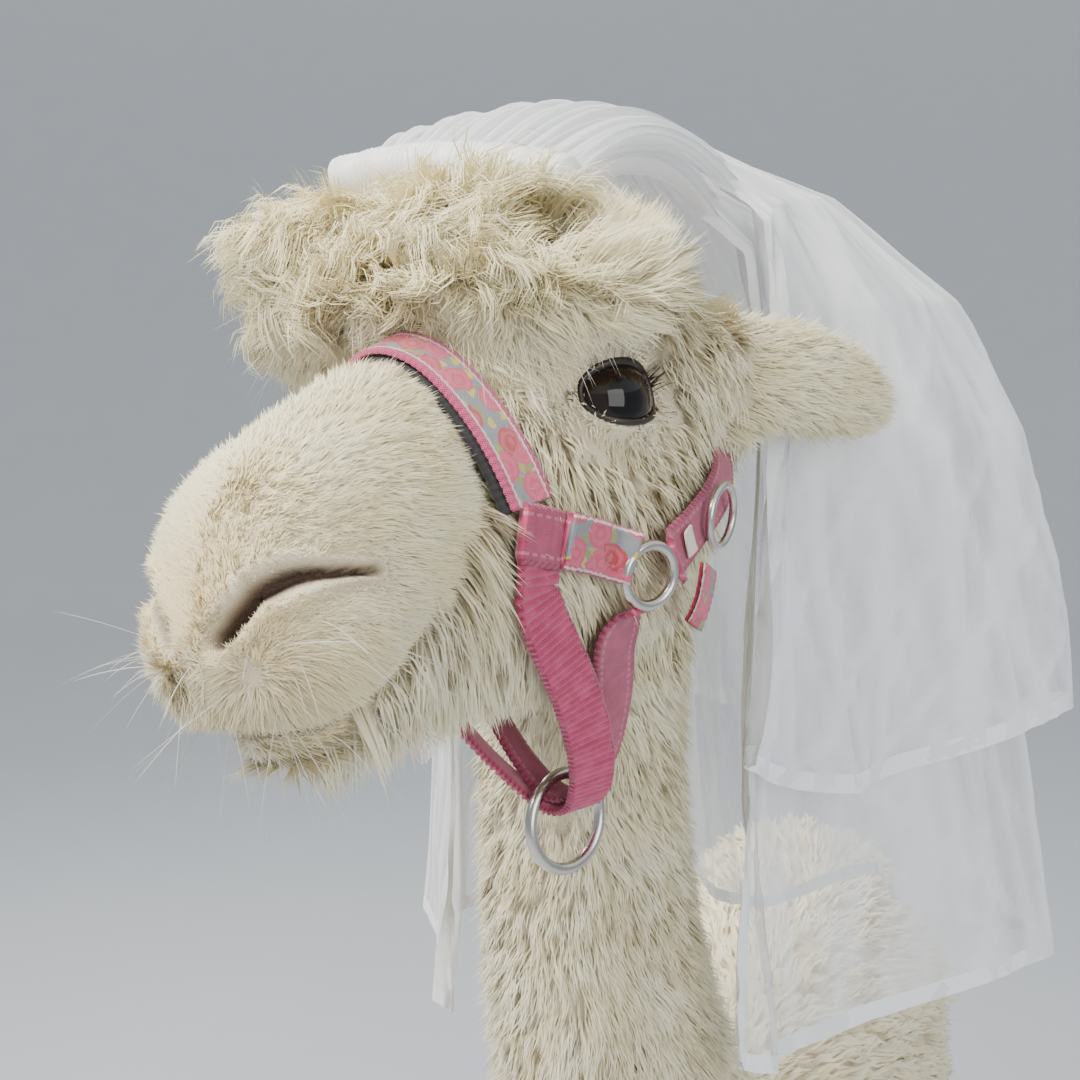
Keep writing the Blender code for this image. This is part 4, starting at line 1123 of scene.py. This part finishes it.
def strap_line(node, route, pitch=0.0007, reach=(0.0, 0.0), rise=0.0):
    """The middle of a strap's outer face and the way out there, at an even pitch. Each end may
    reach further, under or over its neighbour, and rise on the way."""
    tree = tree_of([node])
    spots, outs = [], []
    for left, forward, up in eased(route, 5):
        free = head_place(left, forward, up)
        core = head_place(left * 0.25, min(forward, 0.11), -0.045 + 0.35 * (up + 0.045))
        way = (free - core).normalized()
        hit = tree.ray_cast(free + way * 0.03, -way, 0.06)
        if hit[0] is None:
            hit = tree.find_nearest(free + way * 0.004)
        spots.append(hit[0])
        outs.append(hit[1] if hit[1].dot(way) > 0.3 else way)
    spots, outs = np.array(spots), np.array(outs)
    for _ in range(3):
        spots[1:-1] = (spots[:-2] + 2 * spots[1:-1] + spots[2:]) / 4
        outs[1:-1] = (outs[:-2] + 2 * outs[1:-1] + outs[2:]) / 4
    gone = np.concatenate([[0], np.cumsum(np.linalg.norm(np.diff(spots, axis=0), axis=1))])
    even = np.linspace(0, gone[-1], max(int(gone[-1] / pitch), 4))
    spots = np.stack([np.interp(even, gone, spots[:, i]) for i in range(3)], axis=1)
    outs = unit(np.stack([np.interp(even, gone, outs[:, i]) for i in range(3)], axis=1))
    for _ in range(12):
        spots[1:-1] = (spots[:-2] + 2 * spots[1:-1] + spots[2:]) / 4
        outs[1:-1] = (outs[:-2] + 2 * outs[1:-1] + outs[2:]) / 4
    for at, far in ((0, reach[0]), (-1, reach[1])):
        if far:
            inner = 6 if at == 0 else -7
            way = unit(spots[at] - spots[inner])
            steps = np.arange(1, int(far / pitch) + 1)[:, None] * pitch
            lifted = rise * soft(steps / far, 0.0, 1.0)
            more = spots[at] + way * steps + outs[at] * lifted
            same = np.repeat(outs[at][None], len(more), axis=0)
            spots = np.vstack([more[::-1], spots] if at == 0 else [spots, more])
            outs = np.vstack([same, outs] if at == 0 else [outs, same])
    return spots, unit(outs), np.arange(len(spots)) * pitch


# %% [markdown]
# The tape's section is slightly domed. The chin strap is woven in ribs about 3 mm apart, and the
# tape's edges are a chain of small loops. Both are real shape, because raking light shows them, and
# painted shade also darkens the gaps between the edge loops.

# %% Sweeping woven tape
RIB_PITCH, LOOP_PITCH = 0.0031, 0.0026


def webbing(name, look, line, slot, nodes=(), width=WEB, lift=0.0004, thick=WEB_THICK, ribs=0.0,
            loops=0.0005, fray=0.0, seed=5):
    """Woven tape along a line. It stands lift above the line and is thick below that."""
    spots, outs, gone = line
    along = unit(np.gradient(spots, axis=0))
    across = unit(np.cross(along, outs))
    outs = np.cross(across, along)
    rng = np.random.default_rng(seed)
    rib = ribs * (np.abs(np.sin(math.pi * gone / RIB_PITCH)) ** 0.7 - 0.5)
    edge = width / 2 + loops * np.abs(np.sin(math.pi * gone / LOOP_PITCH)) - loops
    edge = edge + fray * rng.normal(0, 1, len(gone))
    upper = np.linspace(-1, 1, 15)
    lower = np.linspace(1, -1, 7)
    rows, maps = [], []
    for v in upper:
        bead = 0.00045 * (np.abs(v) > 0.8) * (0.4 + np.abs(np.sin(math.pi * gone / LOOP_PITCH)))
        high = lift - thick * 0.42 * abs(v) ** 10 + rib * (1 - v**12) + bead * (abs(v) < 0.99)
        rows.append(spots + across * (edge * v)[:, None] + outs * high[:, None])
        maps.append(np.stack([gone, np.full(len(gone), v * width / 2)], axis=1))
    for v in lower:
        high = lift - thick + thick * 0.42 * abs(v) ** 10 + 0 * gone
        rows.append(spots + across * (edge * v * 0.995)[:, None] + outs * high[:, None])
        maps.append(np.stack([gone, np.full(len(gone), v * width / 2)], axis=1))
    grid, flat = np.stack(rows, axis=1), np.stack(maps, axis=1)
    obj = surface_of(name, grid, look, closed=True, map_size=flat)
    return place_piece(obj, slot, *nodes)


def weave_map(coords):
    return coords.new("ShaderNodeUVMap", out="UV", uv_map="weave")


def threads(weave, pitch=0.0008):
    """The over and under of a plain weave, from 0 to 1."""
    turns = 2 * math.pi / pitch
    warp = (weave.part(0) * turns).math("SINE")
    weft = (weave.part(1) * turns).math("SINE")
    return warp * weft * 0.5 + 0.5


def dashes(weave, at, half=0.0004, pitch=0.0034):
    """A row of stitches along the tape, this far from its middle on both sides."""
    near = 1.0 - ((weave.part(1).math("ABSOLUTE") - at).math("ABSOLUTE")).ease(half, half * 1.6)
    beat = (weave.part(0) / pitch).math("FRACT").math("LESS_THAN", 0.62)
    return near * beat


# %% [markdown]
# Colour follows the weave, so each tape is dyed on its own map. The floral ribbon is a small print
# of roses and leaves, with a pale frayed edge where it is sewn to the tape.

# %% The tapes' colours
def pink_tape(name, ribbed, light=(0.70, 0.105, 0.24), deep=(0.42, 0.030, 0.105), stitched=False):
    look, coords, feed, bump = material(name, 0.62, sheen=0.35, specular=0.35)
    weave = weave_map(coords)
    grain = threads(weave)
    worn = coords.noise(160.0, 3.0).ease(0.38, 0.70)
    colour = (grain * 0.45 + worn * 0.45).mix(deep, light)
    edge = weave.part(1).math("ABSOLUTE").ease(WEB * 0.40, WEB * 0.44)
    loop_gap_shade = ((weave.part(0) / LOOP_PITCH).math("FRACT") - 0.5).math("ABSOLUTE").ease(0.12, 0.36)
    # Painted shade: the tape is darkened in the gaps between its edge loops.
    colour = (edge * loop_gap_shade * 0.8).mix(colour, (0.25, 0.012, 0.055))
    if stitched:
        colour = (dashes(weave, 0.0062) * 0.7).mix(colour, (0.74, 0.22, 0.36))
    feed("Base Color", colour)
    bump(grain, 0.00022 if ribbed else 0.0004)
    return look


def floral_tape(name, half):
    """Tape with a printed ribbon of small roses down its middle, frayed at the ribbon's edges."""
    look, coords, feed, bump = material(name, 0.68, sheen=0.3, specular=0.3)
    weave = weave_map(coords)
    grain = threads(weave)
    bent = weave.new("ShaderNodeVectorMath", {0: weave, 1: coords.noise(320.0) * 0.0040}, 0,
                     operation="ADD")

    def blooms(scale, jitter):
        node = {"Vector": bent, "Scale": scale, "Randomness": jitter}
        return (bent.new("ShaderNodeTexVoronoi", node, 0, voronoi_dimensions="2D"),
                bent.new("ShaderNodeTexVoronoi", node, 1, voronoi_dimensions="2D"))

    rose, tint = blooms(92.0, 0.75)
    petals = ((rose * 26.0).math("SINE") * 0.5 + 0.5)
    red = tint.part(0).ease(0.35, 0.65).mix((0.55, 0.008, 0.030), (0.76, 0.045, 0.16))
    flower = (petals * 0.45).mix(red, (0.86, 0.20, 0.30))
    ground = coords.noise(500.0).mix((0.20, 0.22, 0.26), (0.33, 0.35, 0.38))
    leaf, leaf_tint = blooms(150.0, 1.0)
    spots = leaf_tint.part(1).ease(0.35, 0.6).mix((0.72, 0.62, 0.06), (0.30, 0.36, 0.10))
    colour = leaf.ease(0.30, 0.22).mix(ground, spots)
    colour = rose.ease(0.50, 0.42).mix(colour, flower)
    colour = (grain * 0.12).mix(colour, (0.92, 0.82, 0.80))
    aside = weave.part(1).math("ABSOLUTE") + (coords.noise(900.0) - 0.5) * 0.0012
    pale = aside.ease(half - 0.0009, half - 0.0004)
    colour = pale.mix(colour, (0.86, 0.72, 0.70))
    tape = (grain * 0.5).mix((0.55, 0.06, 0.17), (0.80, 0.18, 0.34))
    colour = aside.ease(half, half + 0.0003).mix(colour, tape)
    feed("Base Color", colour)
    bump(grain, 0.0004)
    return look


pink_ribbed = pink_tape("pink_ribbed", True)
pink_plain = pink_tape("pink_plain", False, light=(0.64, 0.085, 0.20), stitched=True)
floral_narrow = floral_tape("floral_narrow", 0.0066)
floral_wide = floral_tape("floral_wide", 0.0088)
red_under = pink_tape("red_under", False, light=(0.62, 0.02, 0.07), deep=(0.42, 0.01, 0.04))
black_look, coords, feed, _ = material("padding", 0.85, sheen=0.3)
feed("Base Color", coords.noise(400.0).mix((0.010, 0.010, 0.011), (0.035, 0.034, 0.036)))
label_look, coords, feed, _ = material("label", 0.8)
feed("Base Color", threads(weave_map(coords), 0.0005).mix((0.62, 0.57, 0.47), (0.85, 0.80, 0.70)))

# %% [markdown]
# The noseband is padded underneath and carries the floral ribbon on top. Folded squares of plain
# tape join it to the cheek straps, and the chin and throat straps run down to the lead ring.

# %% Laying the straps
nose_line = strap_line("halter_noseband", across_both(NOSEBAND), reach=(0.004, 0.004))
webbing("noseband", floral_narrow, nose_line, "floral_webbing", ["halter_noseband"])
webbing("noseband_padding", black_look, nose_line, "padding", ["halter_pad"],
        width=WEB + 0.0036, lift=-0.0024, thick=0.0030, loops=0.0, fray=0.0001)
crown_line = strap_line("halter_crown_strap", across_both(CROWN_STRAP), reach=(0.008, 0.008),
                        rise=0.0045)
webbing("crown_strap", pink_plain, crown_line, "webbing", ["halter_crown_strap"])
chin_line = strap_line("halter_chin_strap", across_both(CHIN_STRAP), reach=(0.008, 0.008))
webbing("chin_strap", pink_ribbed, chin_line, "webbing", ["halter_chin_strap"], ribs=0.0016)
throat_line = strap_line("halter_throat_strap", across_both(THROAT_STRAP), reach=(0.006, 0.006),
                         rise=0.0045)
webbing("throat_strap", pink_plain, throat_line, "webbing", ["halter_throat_strap"])
for side, word in ((1, "left"), (-1, "right")):
    turned = (lambda route: route) if side == 1 else flipped
    node = f"halter_square_{word}"
    webbing(f"square_{word}", pink_plain, strap_line(node, turned(SQUARE)), "webbing", [node],
            width=WEB + 0.0006, lift=0.0009, thick=0.0042, loops=0.0, ribs=0.0001)
    node = f"halter_cheek_strap_{word}"
    cheek_line = strap_line(node, turned(CHEEK_STRAP), reach=(0.002, 0.007), rise=0.0052)
    webbing(f"cheek_strap_{word}", floral_wide, cheek_line, "floral_webbing", [node],
            fray=0.00015, loops=0.0002)
    webbing(f"cheek_tape_{word}", pink_plain, cheek_line, "webbing", lift=-0.0012, thick=0.0016)
end_line = strap_line("halter_strap_end", STRAP_END)
webbing("strap_end", floral_wide, end_line, "webbing", ["halter_strap_end"], width=0.017,
        thick=0.0014, lift=0.0006, fray=0.0003, loops=0.0)
webbing("strap_end_under", red_under, end_line, "webbing", width=0.0166, thick=0.0014,
        lift=-0.0009, loops=0.0, fray=0.0002)
label_line = strap_line("halter_label", LABEL)
webbing("label", label_look, label_line, "label", ["halter_label"], width=0.0105, thick=0.0008,
        lift=0.0003, loops=0.0)
print("halter webbing laid")

# %% [markdown]
# The metal is nickel-plated steel wire, bent into rings and welded. Fine scratches break up the
# shine.

# %% Rings and buckle
nickel, coords, feed, _ = material("nickel", 0.24, metal=1.0)
feed("Base Color", coords.noise(90.0, 4.0).mix((0.52, 0.49, 0.45), (0.74, 0.71, 0.67)))
nickel_rough = (coords.noise(700.0, 3.0) * 0.25) + 0.12
nickel.node_tree.links.new(nickel_rough.socket,
                           nickel.node_tree.nodes["Principled BSDF"].inputs["Roughness"])


def metal_ring(name, node, radius, wire):
    points = np.array([v.co for v in NODES[node].data.vertices])
    centre = (points.min(axis=0) + points.max(axis=0)) / 2
    normal = np.linalg.svd(points - points.mean(axis=0))[2][2]
    turn = Vector(normal).to_track_quat("Z", "Y").to_euler()
    bpy.ops.mesh.primitive_torus_add(major_segments=72, minor_segments=18, major_radius=radius,
                                     minor_radius=wire, location=centre, rotation=turn)
    bpy.ops.object.transform_apply(location=True, rotation=True, scale=True)
    bpy.ops.object.shade_smooth()
    ring = bpy.context.object
    ring.name = name
    ring.data.materials.append(nickel)
    return place_piece(ring, "nickel", node)


metal_ring("cheek_ring_left", "halter_cheek_ring_left", 0.0105, 0.0019)
metal_ring("cheek_ring_right", "halter_cheek_ring_right", 0.0105, 0.0019)
metal_ring("buckle", "halter_buckle", 0.0115, 0.0016)
metal_ring("lead_ring", "halter_lead_ring", 0.0186, 0.0024)

# %% [markdown]
# ## The veil
# Tulle is a net so fine that it reads as mist. It hangs in two tiers from a gathered band, puffs up
# over the poll and falls behind the neck in folds. Each tier is one sheet. Its free edges carry a
# narrow satin ribbon, whose weight makes them wave.

# %% Hanging the tiers
BAND_HALF, BAND_RADIUS = 0.056, 0.0080
BAND_AT = (-0.018, -0.008, 0.098)
BAND_SLOPE, BAND_BOW = -0.24, 0.006
VEIL_LINE = np.array([HEAD_AT.x - 0.002, HEAD_AT.y + 0.110, 0.0])
PUFF, PUFF_SHIFT, PUFF_ROWS = 0.014, -0.026, 13  # the puff of tulle between band and fall
RIGHT_SHARE = 0.61  # the veil hangs closer on the right by this
WIDEST, HUGGING, FOLDS = 0.60, 0.90, 7
UPPER_TIER = ((0.058, 0.066, 0.064, 1.472), (0.100, 0.130, 0.080, 1.450),
              (0.135, 0.198, 0.086, 1.398), (0.156, 0.242, 0.088, 1.328),
              (0.172, 0.266, 0.089, 1.250), (0.186, 0.284, 0.090, 1.160))
LOWER_TIER = ((0.049, 0.056, 0.056, 1.462), (0.089, 0.118, 0.072, 1.440),
              (0.123, 0.170, 0.078, 1.390), (0.143, 0.212, 0.079, 1.322),
              (0.158, 0.240, 0.078, 1.245), (0.170, 0.262, 0.077, 1.165),
              (0.184, 0.284, 0.078, 1.090), (0.200, 0.300, 0.084, 1.020))


def band_line(along, behind=0.0, lift=0.0):
    left, forward, up = BAND_AT
    rise = up + lift + BAND_SLOPE * BAND_HALF * along - BAND_BOW * along**2
    return np.array(HEAD_AT) + head_way(left + along * BAND_HALF, forward - behind, rise)


def tier_grid(tier, sweep, lift, seed, columns=230, steps=110):
    """Places of one tier, from its gathered top down, and how sharply it is creased there."""
    along = np.linspace(-1, 1, columns)[None, :]
    down = np.linspace(0, 1, steps)[:, None]
    rows = np.array(tier)
    rank = down[:, 0] * (len(rows) - 1)
    back, side, front, height = (
        np.interp(rank, range(len(rows)), rows[:, i])[:, None] for i in range(4))
    spread = np.abs(along)
    height = height - 0.045 * spread**2 * (1 - down)
    fallen = UPPER_TIER[0][3] - height
    wide = soft(spread, 0, WIDEST)
    close = soft(spread, WIDEST, HUGGING)
    share = np.where(along < 0, 1 + (RIGHT_SHARE - 1) * soft(fallen, 0, 0.12), 1.0)
    radius = back + (side * share - back) * wide + (front - side * share) * close
    calm = 1 - 0.75 * soft(-3 * along, 0, 1)
    fold = np.cos(math.pi * FOLDS * along) * 0.013 * down**0.8 * (1 - 0.8 * close) * calm
    rng = np.random.default_rng(seed)
    fine, crease = 0.0, 0.0
    for _ in range(11):
        turns, drift, phase = rng.uniform(4, 21), rng.uniform(-5, 5), rng.uniform(0, 6.3)
        bend = rng.uniform(-2.5, 2.5)
        wave = np.sin(math.pi * turns * along + drift * down * (1 + bend * down) + phase)
        fine = fine + wave * rng.uniform(0.0008, 0.0022)
        crease = crease + np.clip(np.abs(wave) - 0.95, 0, 1) / 0.05 * rng.uniform(0.3, 0.8)
    pleats = (np.sin(math.pi * 17 * along + 2.6 * np.sin(math.pi * 3.3 * along + seed) + seed)
              + 0.6 * np.sin(math.pi * 41 * along + 3.0 * np.sin(math.pi * 4.1 * along))) / 1.3
    fade = 1 - soft(down, 0.0, 0.45)
    crease = np.clip(crease * down**0.25 + fade * np.clip(pleats - 0.55, 0, 1) * 1.6, 0, 1)
    flare = 0.009 * down**4 * np.cos(math.pi * (FOLDS + 3.5) * along + seed) * calm
    radius = radius + fold + fine * down**0.5 + 0.0024 * crease + 0.0038 * pleats * fade + flare
    angle = along * sweep
    shift = PUFF_SHIFT * (1 - soft(fallen, 0, 0.10)) * (1 - along) / 2
    hang = 0.010 * np.sin(math.pi * 5.5 * along + seed) * down**3
    places = np.stack(np.broadcast_arrays(
        VEIL_LINE[0] + np.sin(angle) * radius + shift,
        VEIL_LINE[1] + np.cos(angle) * radius, height + hang), axis=-1)
    top = places[0]
    start = band_line(along[0], BAND_RADIUS, lift)
    crest = (start + top) / 2 + np.array([0, 0, 2 * PUFF])
    t = np.linspace(0, 1, PUFF_ROWS + 1)[:-1, None, None]
    gathers = 0.0042 * pleats[0][:, None] * np.array([0, 0, 1.0]) * (0.25 + np.sin(math.pi * t))
    puffed = (1 - t) ** 2 * start + 2 * t * (1 - t) * crest + t**2 * top + gathers * (1 - t**2)
    crease = crease + 0.42 * (1 - soft(down, 0.15, 0.95)) * (1 - 0.4 * soft(-along, -0.2, 0.6))
    bright = np.clip(0.5 + 0.7 * pleats[0], 0.3, 1.3)
    crease = np.vstack([np.broadcast_to(bright, (PUFF_ROWS, columns)), crease])
    return np.concatenate([puffed, places]), crease


tulle, coords, feed, _ = material("tulle", 0.55, sheen=0.6, specular=0.3)
feed("Base Color", coords.noise(30.0).mix((0.93, 0.95, 1.0), (0.98, 0.99, 1.0)))
mist = stored(coords, "crease") * 0.45 + coords.noise(14.0, 3.0).ease(0.3, 0.8) * 0.14 + 0.18
tulle.node_tree.links.new(mist.socket, tulle.node_tree.nodes["Principled BSDF"].inputs["Alpha"])
satin, coords, feed, _ = material("satin", 0.32, sheen=0.5)
feed("Base Color", coords.noise(120.0).mix((0.96, 0.97, 1.0), (1.0, 1.0, 1.0)))
RIBBON = 0.0095  # the width of the satin ribbon on the edges


def edge_strip(rows, inward):
    """A narrow strip along an edge: rows are its places, inward the next places in from there."""
    way = unit(inward - rows)
    steps = np.linspace(0, RIBBON, 4)[:, None, None]
    return rows[None] + way[None] * steps


def hang_tier(name, node, tier, sweep, lift, seed):
    grid, crease = tier_grid(tier, math.radians(sweep), lift, seed)
    obj = surface_of(name, grid, tulle)
    obj.data.attributes.new("crease", "FLOAT", "POINT").data.foreach_set(
        "value", crease.ravel().astype(np.float32))
    place_piece(obj, "tulle", node)
    hem = edge_strip(grid[-1], grid[-9])
    hem_piece = place_piece(surface_of(f"{name}_hem", hem, satin), "tulle")
    for word, edge, inner in (("left", -1, -6), ("right", 0, 5)):
        strip = edge_strip(grid[PUFF_ROWS:, edge], grid[PUFF_ROWS:, inner])
        place_piece(surface_of(f"{name}_edge_{word}", strip, satin), "tulle")
    spans = np.linalg.norm(np.diff(grid, axis=1), axis=2).sum(axis=1)
    falls = np.linalg.norm(np.diff(grid, axis=0), axis=2).sum(axis=0)
    area = float((spans * np.gradient(np.linspace(0, falls.mean(), len(spans)))).sum())
    print(name, "hem", round(float(spans[-1]), 3), "fall", round(float(falls.mean()), 3),
          "area", round(area, 4))
    return obj


hang_tier("veil_upper", "veil_upper_tier", UPPER_TIER, 84, 0.006, 3)
hang_tier("veil_lower", "veil_lower_tier", LOWER_TIER, 80, -0.001, 8)

# %% [markdown]
# The band is a comb wound with ribbon and gathered tulle. Its gathers are small radial ridges.

# %% The gathered band
turns = np.linspace(-1, 1, 240)
ridge = BAND_RADIUS * (0.94 + 0.10 * np.abs(np.sin(turns * 64)) + 0.05 * np.sin(turns * 151))
ridge *= np.clip((1.02 - np.abs(turns)) * 14, 0.15, 1) ** 0.5
band = surface_of("band", tube_rows(band_line(turns), ridge, 20), satin, closed=True)
place_piece(band, "veil_band", "veil_band")

# %% [markdown]
# ## Nails
# Each foot has two nails of brown horn, and they stay as they were modelled. Only their finish
# changes.

# %% Nails
horn, coords, feed, _ = material("horn", 0.45)
feed("Base Color", coords.noise(140.0, 4.0).mix((0.16, 0.11, 0.07), (0.36, 0.28, 0.20)))
for name, node in NODES.items():
    if name.startswith("nail_"):
        node.data.materials.clear()
        node.data.materials.append(horn)
print("nails finished")

# %% [markdown]
# ## Floor, light and camera
# A pale floor that curves up into a backdrop all round, and soft studio lamps, leave the animal to
# speak for itself. The camera stands close, at the height of the eyes and a little to the animal's
# left.

# %% Floor, light and camera
floor_look, coords, feed, _ = material("floor", 0.9, specular=0.2)
feed("Base Color", coords.noise(3.0).mix((0.47, 0.50, 0.53), (0.50, 0.53, 0.56)))
bpy.ops.object.select_all(action="DESELECT")
FLOOR_SIZE, FLOOR_CELLS = 64.0, 140
BACKDROP_HEIGHT, BACKDROP_FROM, BACKDROP_TO = 10.0, 7.0, 21.0
bpy.ops.mesh.primitive_grid_add(x_subdivisions=FLOOR_CELLS, y_subdivisions=FLOOR_CELLS,
                                size=FLOOR_SIZE, location=(0.0, 0.0, 0.0))
floor = bpy.context.object
floor.name = "floor"
for vertex in floor.data.vertices:
    away = math.hypot(vertex.co.x, vertex.co.y)
    vertex.co.z = BACKDROP_HEIGHT * float(soft(away, BACKDROP_FROM, BACKDROP_TO))
bpy.ops.object.shade_smooth()
floor.data.materials.append(floor_look)

world = bpy.data.worlds.new("studio")
bpy.context.scene.world = world
world.use_nodes = True
world.node_tree.nodes["Background"].inputs[0].default_value = (0.78, 0.80, 0.82, 1.0)
world.node_tree.nodes["Background"].inputs[1].default_value = 1.15


def lamp(name, offset, size, power, colour):
    data = bpy.data.lights.new(name, "AREA")
    data.size, data.energy, data.color = size, power, colour
    obj = bpy.data.objects.new(name, data)
    bpy.context.scene.collection.objects.link(obj)
    obj.location = HEAD_AT + Vector(offset)
    obj.rotation_mode = "QUATERNION"
    obj.rotation_quaternion = (-Vector(offset)).to_track_quat("-Z", "Y")


lamp("key", (-1.1, -1.5, 2.0), 1.1, 150.0, (1.0, 0.96, 0.88))
lamp("fill", (2.2, -1.8, 0.7), 2.0, 46.0, (1.0, 0.98, 0.95))
lamp("rim", (-1.5, 1.5, 1.6), 1.2, 60.0, (1.0, 0.99, 0.97))
camera_data = bpy.data.cameras.new("camera")
camera = bpy.data.objects.new("camera", camera_data)
bpy.context.scene.collection.objects.link(camera)
camera.location = HEAD_AT + Vector((0.1611, -0.3691, -0.0050))
camera.rotation_euler = (math.radians(84.0), 0.0, math.radians(21.0))
camera_data.lens = 36.1
camera_data.sensor_width = 36.0
camera_data.clip_start = 0.01
bpy.context.scene.camera = camera
